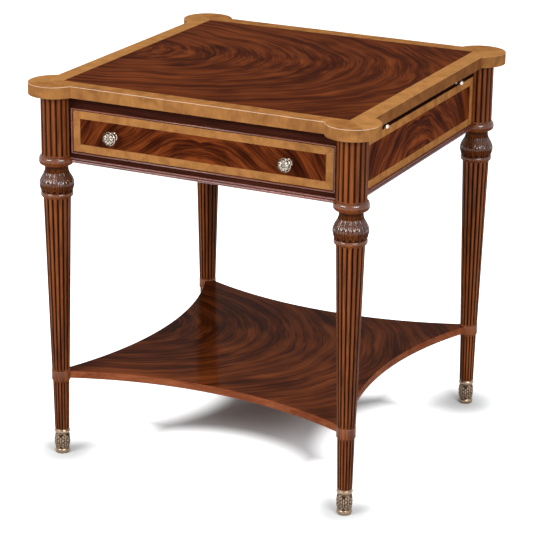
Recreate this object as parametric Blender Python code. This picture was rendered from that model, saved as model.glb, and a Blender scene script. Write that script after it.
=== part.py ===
"""Square side table with a banded top, a drawer, a brushing slide, reeded legs and a low shelf.

Metres, +Z up. The origin is on the floor under the middle of the table, +X points to the
right side, where the slide pulls out, and -Y to the front, where the drawer pulls out.
"""
import math

import bmesh
import bpy
from mathutils import Matrix, Vector

# The whole table
HEIGHT = 0.711
LEG_SPACING = 0.578             # between the axes of neighbouring legs
CLEARANCE = 0.0003              # between pieces that touch
OVERRUN = 0.004                 # by which a cutter passes the faces that it cuts

# The top
TOP_THICKNESS = 0.021
EAR_RADIUS = 0.048              # round corners, centred over the legs
EDGE_OVERHANG = 0.020           # straight edges beyond the leg axes
TOP_BAND_WIDTH = 0.031
VENEER = 0.001
EDGE_STRIP_THICKNESS = 0.002
EAR_SEGMENTS = 14

# The frieze
FRIEZE_HEIGHT = 0.124
FRIEZE_SETBACK = 0.002          # frieze faces inside the leg axes
FRIEZE_THICKNESS = 0.020
TOP_RAIL_HEIGHT = 0.022
BOTTOM_RAIL_HEIGHT = 0.0155
BOTTOM_RAIL_DEPTH = 0.040
PANEL_BAND_WIDTH = 0.014
TENON_THICKNESS = 0.010
TENON_SHOULDER = 0.003          # above and below the tenons of the front rails
SIDE_TENON_HEIGHT = 0.050
BACK_TENON_HEIGHT = 0.024
TENON_TO_AXIS = 0.009           # from a tenon's end to the leg's axis
TENON_ROOT = 0.020              # length of a tenon that is sunk in its rail

# The moulding along the foot of the frieze
MOULDING_HEIGHT = 0.0095
MOULDING_DEPTH = 0.004
MOULDING_LARGE_BEAD = 0.0058    # height of the lower bead
MOULDING_STEPS = 5

# Legs, from the top down
REED_COUNT = 16
COLUMN_RADIUS = 0.0268
COLUMN_REED_DEPTH = 0.0022
REED_RUNOUT = 0.004             # length in which a reed comes out of the round
RING_HEIGHT = 0.0166
RING_BULGE = 0.0049
RING_TOP_ABOVE_FRIEZE = 0.011   # ring top above the foot of the frieze
NECK_RADIUS = 0.0212
NECK_COVE = 0.005
NECK_HEIGHT = 0.003
BULB_RADIUS = 0.0314
BULB_SHOULDER = 0.0275          # height from the neck to the widest place
BULB_TUCK = 0.0142              # height from the widest place to the groove
BULB_FOOT_RADIUS = 0.0280
BULB_LOBES = 8
BULB_LOBE_DEPTH = 0.0012
LOWER_RING_HEIGHT = 0.0103
LOWER_RING_RADIUS = 0.0263
LOWER_RING_BULGE = 0.0031
TAPER_TOP_RADIUS = 0.0246
TAPER_BOTTOM_RADIUS = 0.0163
TAPER_REED_DEPTH = 0.0019
COLLAR_HEIGHT = 0.0195
COLLAR_RADIUS = 0.01715
COLLAR_EDGE = 0.0012
COLLAR_BELOW_SHELF = 0.00325    # collar's lower edge below the shelf
FOOT_TOP_RADIUS = 0.0151
FOOT_BOTTOM_RADIUS = 0.0128
FOOT_REED_DEPTH = 0.0014
TURNED_SIDES = 24

# Foot caps
CAP_HEIGHT = 0.0485
CAP_TOE_HEIGHT = 0.0093
CAP_TOE_RADIUS = 0.0118
CAP_TOE_BULGE = 0.0011
CAP_BODY_RADIUS = 0.0131
CAP_BODY_BULGE = 0.0014
CAP_LIP_HEIGHT = 0.0085
CAP_LIP_BULGE = 0.0015
CAP_STEP = 0.0012               # height of the grooves above the toe and below the lip
CAP_FLOOR = 0.003
LEG_SPIGOT_RADIUS = 0.0102
CAP_SIDES = 16

# The shelf
SHELF_TOP = 0.163
SHELF_THICKNESS = 0.014
SHELF_SIDE_INSET = 0.0587       # from the line of the legs to the middle of each hollow side
SHELF_TIP_BEYOND = 0.0095       # from a leg's axis to where two hollow sides would meet
SHELF_SEGMENTS = 12
PIN_RADIUS = 0.0035             # round pins at the shelf's corners
PIN_IN_LEG = 0.010
PIN_IN_SHELF = 0.008
PIN_SIDES = 12

# The drawer
DRAWER_GAP = 0.0015             # above and below the drawer's front
DRAWER_SIDE_GAP = 0.0042        # between the drawer's front and the legs
COCKBEAD_WIDTH = 0.004
COCKBEAD_PROUD = 0.0022
DRAWER_BACK_GAP = 0.0264        # between the closed drawer and the back apron
DRAWER_SIDE_THICKNESS = 0.010
DRAWER_SIDE_INSET = 0.005       # drawer sides inside the opening
DRAWER_TOP_GAP = 0.002          # under the slide's runners
DRAWER_BOTTOM_RAISE = 0.0072
DRAWER_BOTTOM_THICKNESS = 0.006
DRAWER_BACK_DROP = 0.005        # drawer's back below its sides
STOP_LENGTH = 0.040
STOP_DEPTH = 0.010
STOP_HEIGHT = 0.0042
STOP_PLACE = 0.150
RUNNER_WIDTH = 0.031
RUNNER_HEIGHT = 0.012
GUIDE_HEIGHT = 0.019

# Drawer knobs
KNOB_PLACE = 0.1705
KNOB_RADIUS = 0.0128
KNOB_PROUD = 0.0232
KNOB_STEM_RADIUS = 0.0055
KNOB_BASE_RADIUS = 0.0075
KNOB_BASE_HEIGHT = 0.003
KNOB_HEAD_HEIGHT = 0.0105
KNOB_BORE_DEPTH = 0.012
KNOB_SIDES = 12
SCREW_RADIUS = 0.002
SCREW_HEAD_RADIUS = 0.004
SCREW_HEAD_HEIGHT = 0.002
SCREW_SIDES = 8

# The brushing slide
SLIDE_TRAVEL = 0.26
SLIDE_KICKER_THICKNESS = 0.0044
SLIDE_KICKER_WIDTH = 0.027
SLIDE_BOARD_THICKNESS = 0.012
SLIDE_BOARD_LENGTH = 0.432
SLIDE_SIDE_GAP = 0.0034         # between the slide and the legs
SLIDE_SLOT_HEIGHT = 0.0225      # from the side apron to the top
SLIDE_LIP_GAP = 0.0018          # under the slide's edge
SLIDE_LIP_HEIGHT = 0.0167
SLIDE_LIP_THICKNESS = 0.0162
SLIDE_LIP_PROUD = 0.0015
SLIDE_RUNNER_THICKNESS = 0.0057
SLIDE_RUNNER_WIDTH = 0.0345
SLIDE_BLOCK_LENGTH = 0.020
SLIDE_BLOCK_HALF_WIDTH = 0.030
SLIDE_STOP_WIDTH = 0.036
SLIDE_KNOB_PLACE = 0.171
SLIDE_KNOB_RADIUS = 0.0043
SLIDE_KNOB_NECK_RADIUS = 0.0020
SLIDE_KNOB_NECK_LENGTH = 0.0048
SLIDE_KNOB_PIN_RADIUS = 0.0015
SLIDE_KNOB_PIN_LENGTH = 0.008
SLIDE_KNOB_SIDES = 10

# Screws that hold the top
TOP_SCREW_PLACE = 0.150
TOP_SCREW_DEPTH = 0.013         # into the top

# Places worked out from the sizes above
HALF = LEG_SPACING / 2
TOP_UNDERSIDE = HEIGHT - TOP_THICKNESS
UNDER_TOP = TOP_UNDERSIDE - CLEARANCE
BOARD_TOP = HEIGHT - VENEER - CLEARANCE
FIELD_HALF = HALF + EDGE_OVERHANG - TOP_BAND_WIDTH
FRIEZE_FOOT = TOP_UNDERSIDE - FRIEZE_HEIGHT
FRIEZE_FACE = HALF - FRIEZE_SETBACK
FRIEZE_INNER = FRIEZE_FACE - FRIEZE_THICKNESS
FRIEZE_INSIDE = FRIEZE_INNER - CLEARANCE
PANEL_CORE_FACE = FRIEZE_FACE - VENEER - CLEARANCE
COLUMN_FLANK = HALF - COLUMN_RADIUS
OPENING_TOP = TOP_UNDERSIDE - TOP_RAIL_HEIGHT
OPENING_BOTTOM = FRIEZE_FOOT + BOTTOM_RAIL_HEIGHT
APRON_TOP = TOP_UNDERSIDE - SLIDE_SLOT_HEIGHT
MOULDING_TOP = FRIEZE_FOOT + MOULDING_HEIGHT
RING_TOP = FRIEZE_FOOT + RING_TOP_ABOVE_FRIEZE
SHELF_BOTTOM = SHELF_TOP - SHELF_THICKNESS
COLLAR_BOTTOM = SHELF_BOTTOM - COLLAR_BELOW_SHELF
KICKER_BOTTOM = UNDER_TOP - SLIDE_KICKER_THICKNESS
SLIDE_TOP = KICKER_BOTTOM - CLEARANCE
SLIDE_BOTTOM = SLIDE_TOP - SLIDE_BOARD_THICKNESS
SLIDE_RUNNER_TOP = SLIDE_BOTTOM - CLEARANCE
SLIDE_RUNNER_BOTTOM = SLIDE_RUNNER_TOP - SLIDE_RUNNER_THICKNESS
SLIDE_HALF_WIDTH = COLUMN_FLANK - SLIDE_SIDE_GAP
SLIDE_LIP_FACE = FRIEZE_FACE + SLIDE_LIP_PROUD
SLIDE_LIP_BACK = SLIDE_LIP_FACE - SLIDE_LIP_THICKNESS
SLIDE_STOP_FACE = SLIDE_LIP_BACK - CLEARANCE
DRAWER_RUN = OPENING_BOTTOM + CLEARANCE
DRAWER_REAR = FRIEZE_INSIDE - DRAWER_BACK_GAP
FRONT_HALF_WIDTH = COLUMN_FLANK - DRAWER_SIDE_GAP
FRONT_LOW = OPENING_BOTTOM + DRAWER_GAP
FRONT_HIGH = OPENING_TOP - DRAWER_GAP
FRONT_MIDDLE = (FRONT_LOW + FRONT_HIGH) / 2
CORE_HALF_WIDTH = FRONT_HALF_WIDTH - COCKBEAD_WIDTH - CLEARANCE
CORE_LOW = FRONT_LOW + COCKBEAD_WIDTH + CLEARANCE
CORE_HIGH = FRONT_HIGH - COCKBEAD_WIDTH - CLEARANCE
DRAWER_SIDE_FACE = COLUMN_FLANK - DRAWER_SIDE_INSET
DRAWER_SIDE_INNER = DRAWER_SIDE_FACE - DRAWER_SIDE_THICKNESS
DRAWER_SIDE_TOP = SLIDE_RUNNER_BOTTOM - DRAWER_TOP_GAP
DRAWER_BOTTOM_LOW = DRAWER_RUN + DRAWER_BOTTOM_RAISE
DRAWER_BOTTOM_HIGH = DRAWER_BOTTOM_LOW + DRAWER_BOTTOM_THICKNESS

CORNERS = {
    "front_left": (-1, -1),
    "front_right": (1, -1),
    "back_right": (1, 1),
    "back_left": (-1, 1),
}


def clear_scene():
    """Removes what the scene holds."""
    for item in list(bpy.data.objects):
        bpy.data.objects.remove(item, do_unlink=True)


def material(name, colour, roughness, metallic=0.0):
    """Principled material of one colour."""
    made = bpy.data.materials.new(name)
    made.use_nodes = True
    shader = made.node_tree.nodes["Principled BSDF"]
    shader.inputs["Base Color"].default_value = (*colour, 1.0)
    shader.inputs["Roughness"].default_value = roughness
    shader.inputs["Metallic"].default_value = metallic
    made.diffuse_color = (*colour, 1.0)
    return made


def add_object(name, shape, finish=None, place=(0, 0, 0), parent=None, sharp=35):
    """Turns a bmesh into a named object; sharp is the angle in degrees that keeps an edge."""
    bmesh.ops.recalc_face_normals(shape, faces=shape.faces[:])
    mesh = bpy.data.meshes.new(name)
    shape.to_mesh(mesh)
    shape.free()
    mesh.shade_smooth()
    mesh.set_sharp_from_angle(angle=math.radians(sharp))
    piece = bpy.data.objects.new(name, mesh)
    piece.location = place
    bpy.context.collection.objects.link(piece)
    if finish:
        mesh.materials.append(finish)
    if parent:
        piece.parent = parent
        piece.location = Vector(place) - parent.location
    return piece


def add_cutter(name, shape):
    """Hidden object that others are cut or joined with."""
    tool = add_object(name, shape)
    tool.hide_render = True
    tool.display_type = "WIRE"
    return tool


def combine(piece, tool, operation):
    """Boolean of a piece with a hidden object."""
    step = piece.modifiers.new(tool.name, "BOOLEAN")
    step.object = tool
    step.operation = operation
    step.solver = "EXACT"


def add_block(shape, low, high):
    """Adds a box between two opposite corners."""
    size = [b - a for a, b in zip(low, high)]
    middle = [(a + b) / 2 for a, b in zip(low, high)]
    place = Matrix.Translation(middle) @ Matrix.Diagonal((*size, 1))
    bmesh.ops.create_cube(shape, size=1, matrix=place)


def block(name, low, high, finish, parent=None):
    """One box as an object of its own, placed by its middle."""
    middle = Vector([(a + b) / 2 for a, b in zip(low, high)])
    shape = bmesh.new()
    add_block(shape, Vector(low) - middle, Vector(high) - middle)
    return add_object(name, shape, finish, middle, parent)


def add_prism(shape, outline, along, turn=Matrix()):
    """Adds a straight solid: the outline in x and y, from along[0] to along[1] in z, turned."""
    corners = [shape.verts.new((x, y, along[0])) for x, y in outline]
    face = shape.faces.new(corners)
    lifted = bmesh.ops.extrude_face_region(shape, geom=[face])["geom"]
    moved = [item for item in lifted if isinstance(item, bmesh.types.BMVert)]
    bmesh.ops.translate(shape, verts=moved, vec=(0, 0, along[1] - along[0]))
    bmesh.ops.transform(shape, verts=corners + moved, matrix=turn)


def add_turned(shape, profile, sides, place=Matrix()):
    """Adds a turned solid; the profile's radius and height pairs start and end on the axis."""
    points = [shape.verts.new((radius, 0, height)) for radius, height in profile]
    lines = [shape.edges.new(pair) for pair in zip(points, points[1:])]
    before = set(shape.verts) - set(points)
    bmesh.ops.spin(shape, geom=points + lines, cent=(0, 0, 0), axis=(0, 0, 1),
                   angle=math.tau, steps=sides, use_merge=True)
    made = [point for point in shape.verts if point not in before]
    bmesh.ops.remove_doubles(shape, verts=made, dist=CLEARANCE / sides)
    made = [point for point in shape.verts if point not in before]
    bmesh.ops.transform(shape, verts=made, matrix=place)


def add_band(shape, outer, inner, along, turn=Matrix()):
    """Adds a flat ring between two outlines that have as many points as each other."""
    loops = []
    for outline, height in ((outer, along[0]), (outer, along[1]),
                            (inner, along[1]), (inner, along[0])):
        loops.append([shape.verts.new(turn @ Vector((x, y, height))) for x, y in outline])
    for first, second in zip(loops, loops[1:] + loops[:1]):
        for index in range(len(first)):
            shape.faces.new((first[index - 1], first[index], second[index], second[index - 1]))


def rectangle(half, low, high):
    """Corners of an upright rectangle round the middle of a face, as x and z pairs."""
    return [(-half, low), (half, low), (half, high), (-half, high)]


def swell(low, high, low_radius, high_radius, bulge, steps):
    """Radius and height pairs of a bead: a straight line with a half wave on it."""
    points = []
    for step in range(steps + 1):
        share = step / steps
        radius = low_radius + (high_radius - low_radius) * share
        height = low + (high - low) * share
        points.append((radius + bulge * math.sin(math.pi * share), height))
    return points


def ogee(low, high, low_radius, high_radius, steps):
    """Radius and height pairs of an S curve that starts and ends upright."""
    points = []
    for step in range(steps + 1):
        share = step / steps
        ease = (1 - math.cos(math.pi * share)) / 2
        points.append((low_radius + (high_radius - low_radius) * ease, low + (high - low) * share))
    return points


def around(radius, sides):
    """Radius of the corners of a polygon that goes round a circle."""
    return radius / math.cos(math.pi / sides)


def on_side(quarter):
    """Turn that takes the front side to the right, back and left sides."""
    return Matrix.Rotation(quarter * math.tau / 4, 4, "Z")


def turned_outline(outline, quarter):
    """Plan outline of the front side, taken to another side."""
    turn = on_side(quarter)
    return [(turn @ Vector((x, y, 0))).to_2d() for x, y in outline]


def ear_arc(side_x, side_y, inset, first, last):
    """Points round one ear, anticlockwise, between two shares of the half arc: -1, 0 or 1."""
    radius = EAR_RADIUS - inset
    half_arc = math.acos((EDGE_OVERHANG - inset) / radius) + math.pi / 4
    middle = math.atan2(side_y, side_x)
    steps = round(EAR_SEGMENTS * (last - first) / 2)
    points = []
    for step in range(steps + 1):
        angle = middle + half_arc * (first + (last - first) * step / steps)
        points.append((side_x * HALF + radius * math.cos(angle),
                       side_y * HALF + radius * math.sin(angle)))
    return points


def top_outline(inset):
    """Plan of the top: four ears joined by straight edges."""
    outline = []
    for side_x, side_y in ((1, -1), (1, 1), (-1, 1), (-1, -1)):
        outline += ear_arc(side_x, side_y, inset, -1, 1)
    return outline


def build_top(core, flame, banding):
    """Top board, its veneers and its edge strips."""
    shape = bmesh.new()
    add_prism(shape, top_outline(EDGE_STRIP_THICKNESS + CLEARANCE), (TOP_UNDERSIDE, BOARD_TOP))
    board = add_object("top_board", shape, core)
    combine(board, bpy.data.objects["top_screw_holes"], "DIFFERENCE")

    veneer = (HEIGHT - VENEER, HEIGHT)
    field = FIELD_HALF - CLEARANCE / 2
    block("top_field_front", (-field, -field, veneer[0]), (field, -CLEARANCE / 2, veneer[1]), flame)
    block("top_field_back", (-field, CLEARANCE / 2, veneer[0]), (field, field, veneer[1]), flame)

    left_ear = ear_arc(-1, -1, 0, 0, 1)
    right_ear = ear_arc(1, -1, 0, -1, 0)
    left_ear[0] = (left_ear[0][0] + CLEARANCE, left_ear[0][1])
    right_ear[-1] = (right_ear[-1][0] - CLEARANCE, right_ear[-1][1])
    inner = FIELD_HALF + CLEARANCE / 2
    front = left_ear + right_ear + [(inner - CLEARANCE, -inner), (CLEARANCE - inner, -inner)]
    for quarter, side in enumerate(("front", "right", "back", "left")):
        shape = bmesh.new()
        add_prism(shape, turned_outline(front, quarter), veneer)
        add_object("top_band_" + side, shape, banding)

    shape = bmesh.new()
    add_band(shape, top_outline(0), top_outline(EDGE_STRIP_THICKNESS), (TOP_UNDERSIDE, BOARD_TOP))
    add_object("top_edging", shape, banding)


def ring_of(count, height, radius, reed_depth=0.0, lobe_depth=0.0):
    """Points round the axis: 3 a reed with the groove last, or evenly spaced turned sides."""
    points = []
    for index in range(count):
        angle = math.tau * index / count
        out = radius
        if count == 3 * REED_COUNT:
            reed, place = divmod(index, 3)
            share = (-0.2, 0.2, 0.5)[place]
            angle = math.tau * (reed + share) / REED_COUNT
            out = radius - (reed_depth if place == 2 else 0)
        elif lobe_depth:
            out = radius - lobe_depth * (1 - math.cos(BULB_LOBES * angle)) / 2
        points.append((out * math.cos(angle), out * math.sin(angle), height))
    return points


def add_rings(shape, rings):
    """Closed solid through rings of points; a ring may have twice or half as many as the next."""
    loops = [[shape.verts.new(point) for point in ring] for ring in rings]
    for upper, lower in zip(loops, loops[1:]):
        if len(upper) == len(lower):
            for index in range(len(upper)):
                shape.faces.new((upper[index - 1], upper[index], lower[index], lower[index - 1]))
            continue
        fine, coarse = (upper, lower) if len(upper) > len(lower) else (lower, upper)
        per_side = (len(fine) + len(coarse) - 1) // len(coarse)
        for index in range(len(coarse)):
            start = index * per_side
            corner = (index + 1) % len(coarse)
            fan = [fine[(start + step) % len(fine)] for step in range(per_side + 1)]
            for first, second in zip(fan[:-1], fan[1:-1] + [None]):
                if second:
                    shape.faces.new((first, second, coarse[index]))
            shape.faces.new((fan[-2], fan[-1], coarse[corner], coarse[index]))
    shape.faces.new(loops[0])
    shape.faces.new(loops[-1])


def leg_rings():
    """Rings of a leg from its top to its spigot: reeds, ring, neck, carved bulb, taper, foot."""
    reeded = 3 * REED_COUNT
    rings = [ring_of(reeded, UNDER_TOP, COLUMN_RADIUS, COLUMN_REED_DEPTH),
             ring_of(reeded, RING_TOP + REED_RUNOUT, COLUMN_RADIUS, COLUMN_REED_DEPTH),
             ring_of(TURNED_SIDES, RING_TOP, COLUMN_RADIUS)]

    ring_foot = RING_TOP - RING_HEIGHT
    bead = swell(RING_TOP, ring_foot, COLUMN_RADIUS, COLUMN_RADIUS, RING_BULGE, 4)
    rings += [ring_of(TURNED_SIDES, height, radius) for radius, height in bead[1:]]

    neck_top = ring_foot - NECK_COVE
    cove_middle = (ring_foot + neck_top) / 2
    cove_radius = (COLUMN_RADIUS + 2 * NECK_RADIUS) / 3
    rings.append(ring_of(TURNED_SIDES, cove_middle, cove_radius))
    rings.append(ring_of(TURNED_SIDES, neck_top, NECK_RADIUS))

    bulb_top = neck_top - NECK_HEIGHT
    bulb_wide = bulb_top - BULB_SHOULDER
    bulb_foot = bulb_wide - BULB_TUCK
    for radius, height in ogee(bulb_top, bulb_wide, NECK_RADIUS, BULB_RADIUS, 5):
        depth = BULB_LOBE_DEPTH * (radius - NECK_RADIUS) / (BULB_RADIUS - NECK_RADIUS)
        rings.append(ring_of(TURNED_SIDES, height, radius, lobe_depth=depth))
    tuck = swell(bulb_wide, bulb_foot, BULB_RADIUS, BULB_FOOT_RADIUS, BULB_LOBE_DEPTH, 3)
    for radius, height in tuck[1:-1]:
        rings.append(ring_of(TURNED_SIDES, height, radius, lobe_depth=BULB_LOBE_DEPTH))
    rings.append(ring_of(TURNED_SIDES, bulb_foot, BULB_FOOT_RADIUS))

    lower_foot = bulb_foot - LOWER_RING_HEIGHT
    lower = swell(bulb_foot, lower_foot, LOWER_RING_RADIUS, LOWER_RING_RADIUS,
                  LOWER_RING_BULGE, 3)
    rings += [ring_of(TURNED_SIDES, height, radius) for radius, height in lower[1:]]

    collar_top = COLLAR_BOTTOM + COLLAR_HEIGHT
    rings += reed_stretch(lower_foot, collar_top, TAPER_TOP_RADIUS, TAPER_BOTTOM_RADIUS,
                          TAPER_REED_DEPTH)
    for height, radius in ((collar_top, COLLAR_RADIUS - COLLAR_EDGE),
                           (collar_top - COLLAR_EDGE, COLLAR_RADIUS),
                           (COLLAR_BOTTOM + COLLAR_EDGE, COLLAR_RADIUS),
                           (COLLAR_BOTTOM, COLLAR_RADIUS - COLLAR_EDGE)):
        rings.append(ring_of(TURNED_SIDES, height, radius))
    rings += reed_stretch(COLLAR_BOTTOM, CAP_HEIGHT + CLEARANCE, FOOT_TOP_RADIUS,
                          FOOT_BOTTOM_RADIUS, FOOT_REED_DEPTH)
    rings.append(ring_of(TURNED_SIDES, CAP_HEIGHT + CLEARANCE, LEG_SPIGOT_RADIUS))
    rings.append(ring_of(TURNED_SIDES, CAP_FLOOR + CLEARANCE, LEG_SPIGOT_RADIUS))
    return rings


def reed_stretch(top, bottom, top_radius, bottom_radius, depth):
    """Reeds that rise from the round near the top and die into it near the bottom."""
    count = 3 * REED_COUNT
    slope = (bottom_radius - top_radius) / (top - bottom)
    upper = top_radius + slope * REED_RUNOUT
    lower = bottom_radius - slope * REED_RUNOUT
    return [ring_of(TURNED_SIDES, top - CLEARANCE, top_radius),
            ring_of(count, top - REED_RUNOUT, upper, depth),
            ring_of(count, bottom + REED_RUNOUT, lower, depth),
            ring_of(TURNED_SIDES, bottom + CLEARANCE, bottom_radius)]


def build_legs(mahogany, brass):
    """Four legs with their mortises and the holes for the shelf's pins, and four foot caps."""
    mortises = tenons("mortises", CLEARANCE)
    shape = bmesh.new()
    add_rings(shape, leg_rings())
    turning = None
    for corner, (side_x, side_y) in CORNERS.items():
        place = (side_x * HALF, side_y * HALF, 0)
        if turning is None:
            leg = add_object("leg_" + corner, shape, mahogany, place)
            turning = leg.data
        else:
            leg = bpy.data.objects.new("leg_" + corner, turning)
            leg.location = place
            bpy.context.collection.objects.link(leg)
        combine(leg, mortises, "DIFFERENCE")
        combine(leg, bpy.data.objects["shelf_pin_holes"], "DIFFERENCE")

    toe_top = CAP_TOE_HEIGHT
    body_low = toe_top + CAP_STEP
    lip_low = CAP_HEIGHT - CAP_LIP_HEIGHT
    body_high = lip_low - CAP_STEP
    toe_high_radius = CAP_BODY_RADIUS - CAP_STEP / 2
    bore = LEG_SPIGOT_RADIUS + CLEARANCE
    profile = [(0, 0)]
    profile += swell(0, toe_top, CAP_TOE_RADIUS, toe_high_radius, CAP_TOE_BULGE, 2)
    profile += swell(body_low, body_high, CAP_BODY_RADIUS, CAP_BODY_RADIUS, CAP_BODY_BULGE, 3)
    profile += swell(lip_low, CAP_HEIGHT, CAP_BODY_RADIUS, CAP_BODY_RADIUS, CAP_LIP_BULGE, 3)
    profile += [(bore, CAP_HEIGHT), (bore, CAP_FLOOR), (0, CAP_FLOOR)]
    shape = bmesh.new()
    add_turned(shape, profile, CAP_SIDES)
    cup = None
    for corner, (side_x, side_y) in CORNERS.items():
        place = (side_x * HALF, side_y * HALF, 0)
        if cup is None:
            cup = add_object("foot_cap_" + corner, shape, brass, place).data
            continue
        cap = bpy.data.objects.new("foot_cap_" + corner, cup)
        cap.location = place
        bpy.context.collection.objects.link(cap)


def leg_clearance():
    """Cutter that scribes the frieze to the four legs: ring below, column above."""
    half_ring = swell(RING_TOP - RING_HEIGHT, RING_TOP, COLUMN_RADIUS, COLUMN_RADIUS,
                      RING_BULGE, 8)[4:]
    foot = FRIEZE_FOOT - OVERRUN
    outline = [(0, foot), (half_ring[0][0], foot)] + half_ring
    outline += [(COLUMN_RADIUS, TOP_UNDERSIDE + OVERRUN)]
    sides = TURNED_SIDES
    profile = [(0, foot)]
    profile += [(around(radius + CLEARANCE, sides), height) for radius, height in outline[1:]]
    profile += [(0, TOP_UNDERSIDE + OVERRUN)]
    shape = bmesh.new()
    for side_x, side_y in CORNERS.values():
        add_turned(shape, profile, sides, Matrix.Translation((side_x * HALF, side_y * HALF, 0)))
    return add_cutter("leg_clearance", shape)


def tenon_heights():
    """Bottom and top of the tenons of each rail, so that no two meet inside a leg."""
    middle = (FRIEZE_FOOT + TOP_UNDERSIDE) / 2
    side = (middle - SIDE_TENON_HEIGHT / 2, middle + SIDE_TENON_HEIGHT / 2)
    low = FRIEZE_FOOT + TENON_SHOULDER
    high = UNDER_TOP - TENON_SHOULDER
    return {
        "front_top": [(OPENING_TOP + TENON_SHOULDER, high)],
        "front_bottom": [(low, OPENING_BOTTOM - TENON_SHOULDER)],
        "back": [(low, low + BACK_TENON_HEIGHT), (high - BACK_TENON_HEIGHT, high)],
        "left": [side],
        "right": [side],
    }


def tenons(name, grow=0.0, rails=None):
    """Hidden tenons of some rails, or of all, or the mortises a little larger than they."""
    middle = FRIEZE_FACE - FRIEZE_THICKNESS / 2
    near = middle - TENON_THICKNESS / 2 - grow
    far = middle + TENON_THICKNESS / 2 + grow
    end = HALF - TENON_TO_AXIS + grow
    root = COLUMN_FLANK - TENON_ROOT
    shape = bmesh.new()
    for rail, heights in tenon_heights().items():
        if rails and rail not in rails:
            continue
        for low, high in heights:
            for side in (-1, 1):
                across = sorted((side * root, side * end))
                if rail in ("left", "right"):
                    facing = 1 if rail == "right" else -1
                    depth = sorted((facing * near, facing * far))
                    add_block(shape, (depth[0], across[0], low - grow),
                              (depth[1], across[1], high + grow))
                else:
                    facing = 1 if rail == "back" else -1
                    depth = sorted((facing * near, facing * far))
                    add_block(shape, (across[0], depth[0], low - grow),
                              (across[1], depth[1], high + grow))
    return add_cutter(name, shape)


def build_rails(mahogany):
    """Front rails and back apron, scribed to the legs and tenoned into them."""
    scribe = bpy.data.objects["leg_clearance"]
    flank = FRIEZE_FACE - (FRIEZE_THICKNESS + TENON_THICKNESS) / 2 - CLEARANCE

    top_rail = block("front_top_rail", (-flank, -FRIEZE_FACE, OPENING_TOP),
                     (flank, -FRIEZE_INNER, UNDER_TOP), mahogany)
    combine(top_rail, scribe, "DIFFERENCE")
    combine(top_rail, tenons("front_top_tenons", rails=("front_top",)), "UNION")
    combine(top_rail, bpy.data.objects["top_screw_holes"], "DIFFERENCE")

    low_rail = block("front_bottom_rail", (-FRIEZE_INSIDE, -FRIEZE_FACE, FRIEZE_FOOT),
                     (FRIEZE_INSIDE, BOTTOM_RAIL_DEPTH - FRIEZE_FACE, OPENING_BOTTOM), mahogany)
    combine(low_rail, scribe, "DIFFERENCE")
    combine(low_rail, tenons("front_bottom_tenons", rails=("front_bottom",)), "UNION")

    back = block("back_apron", (-flank, FRIEZE_INNER, FRIEZE_FOOT),
                 (flank, FRIEZE_FACE, UNDER_TOP), mahogany)
    combine(back, scribe, "DIFFERENCE")
    combine(back, tenons("back_tenons", rails=("back",)), "UNION")


def build_side(side, mahogany, flame, banding):
    """Side apron with its veneered panel; the right one stops under the slide."""
    facing = 1 if side == "right" else -1
    quarter = 1 if side == "right" else 3
    scribe = bpy.data.objects["leg_clearance"]
    top = APRON_TOP if side == "right" else UNDER_TOP
    section = [(FRIEZE_INNER, FRIEZE_FOOT), (FRIEZE_FACE, FRIEZE_FOOT),
               (FRIEZE_FACE, MOULDING_TOP), (PANEL_CORE_FACE, MOULDING_TOP),
               (PANEL_CORE_FACE, APRON_TOP)]
    if side == "left":
        section += [(FRIEZE_FACE, APRON_TOP), (FRIEZE_FACE, top)]
    section += [(FRIEZE_INNER, top)]
    shape = bmesh.new()
    stand = Matrix.Rotation(math.pi / 2, 4, "X")
    add_prism(shape, [(facing * x, z) for x, z in section], (-FRIEZE_INSIDE, FRIEZE_INSIDE), stand)
    apron = add_object(side + "_apron", shape, mahogany)
    combine(apron, scribe, "DIFFERENCE")
    combine(apron, tenons(side + "_tenons", rails=(side,)), "UNION")

    low = MOULDING_TOP + CLEARANCE
    high = APRON_TOP - CLEARANCE
    half = COLUMN_FLANK
    inner_half = half - PANEL_BAND_WIDTH
    field_low = low + PANEL_BAND_WIDTH
    field_high = high - PANEL_BAND_WIDTH
    veneer = (FRIEZE_FACE - VENEER, FRIEZE_FACE)
    upright = on_side(quarter) @ Matrix.Rotation(math.pi / 2, 4, "X")
    gap = CLEARANCE
    shape = bmesh.new()
    add_prism(shape, rectangle(inner_half - gap, field_low + gap, field_high - gap), veneer,
              upright)
    add_object(side + "_panel_field", shape, flame)
    shape = bmesh.new()
    add_band(shape, rectangle(half, low, high), rectangle(inner_half, field_low, field_high),
             veneer, upright)
    frame = add_object(side + "_panel_banding", shape, banding)
    combine(frame, scribe, "DIFFERENCE")


def build_mouldings(mahogany):
    """Small moulding of two beads, planted along the foot of the frieze on each side."""
    groove = FRIEZE_FOOT + MOULDING_LARGE_BEAD
    back = -FRIEZE_FACE - CLEARANCE
    fillet = MOULDING_DEPTH / 3
    lower = swell(FRIEZE_FOOT, groove, fillet, fillet, MOULDING_DEPTH - fillet, MOULDING_STEPS)
    upper = swell(groove, MOULDING_TOP, fillet, fillet, (MOULDING_DEPTH - fillet) / 2,
                  MOULDING_STEPS)
    section = [(back, FRIEZE_FOOT)] + [(back - out, height) for out, height in lower + upper[1:]]
    section += [(back, MOULDING_TOP)]
    along = Matrix(((0, 0, 1, 0), (1, 0, 0, 0), (0, 1, 0, 0), (0, 0, 0, 1)))
    scribe = bpy.data.objects["leg_clearance"]
    for quarter, side in enumerate(("front", "right", "back", "left")):
        shape = bmesh.new()
        half = HALF - COLUMN_RADIUS
        add_prism(shape, section, (-half, half), on_side(quarter) @ along)
        piece = add_object(side + "_moulding", shape, mahogany)
        combine(piece, scribe, "DIFFERENCE")


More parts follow.
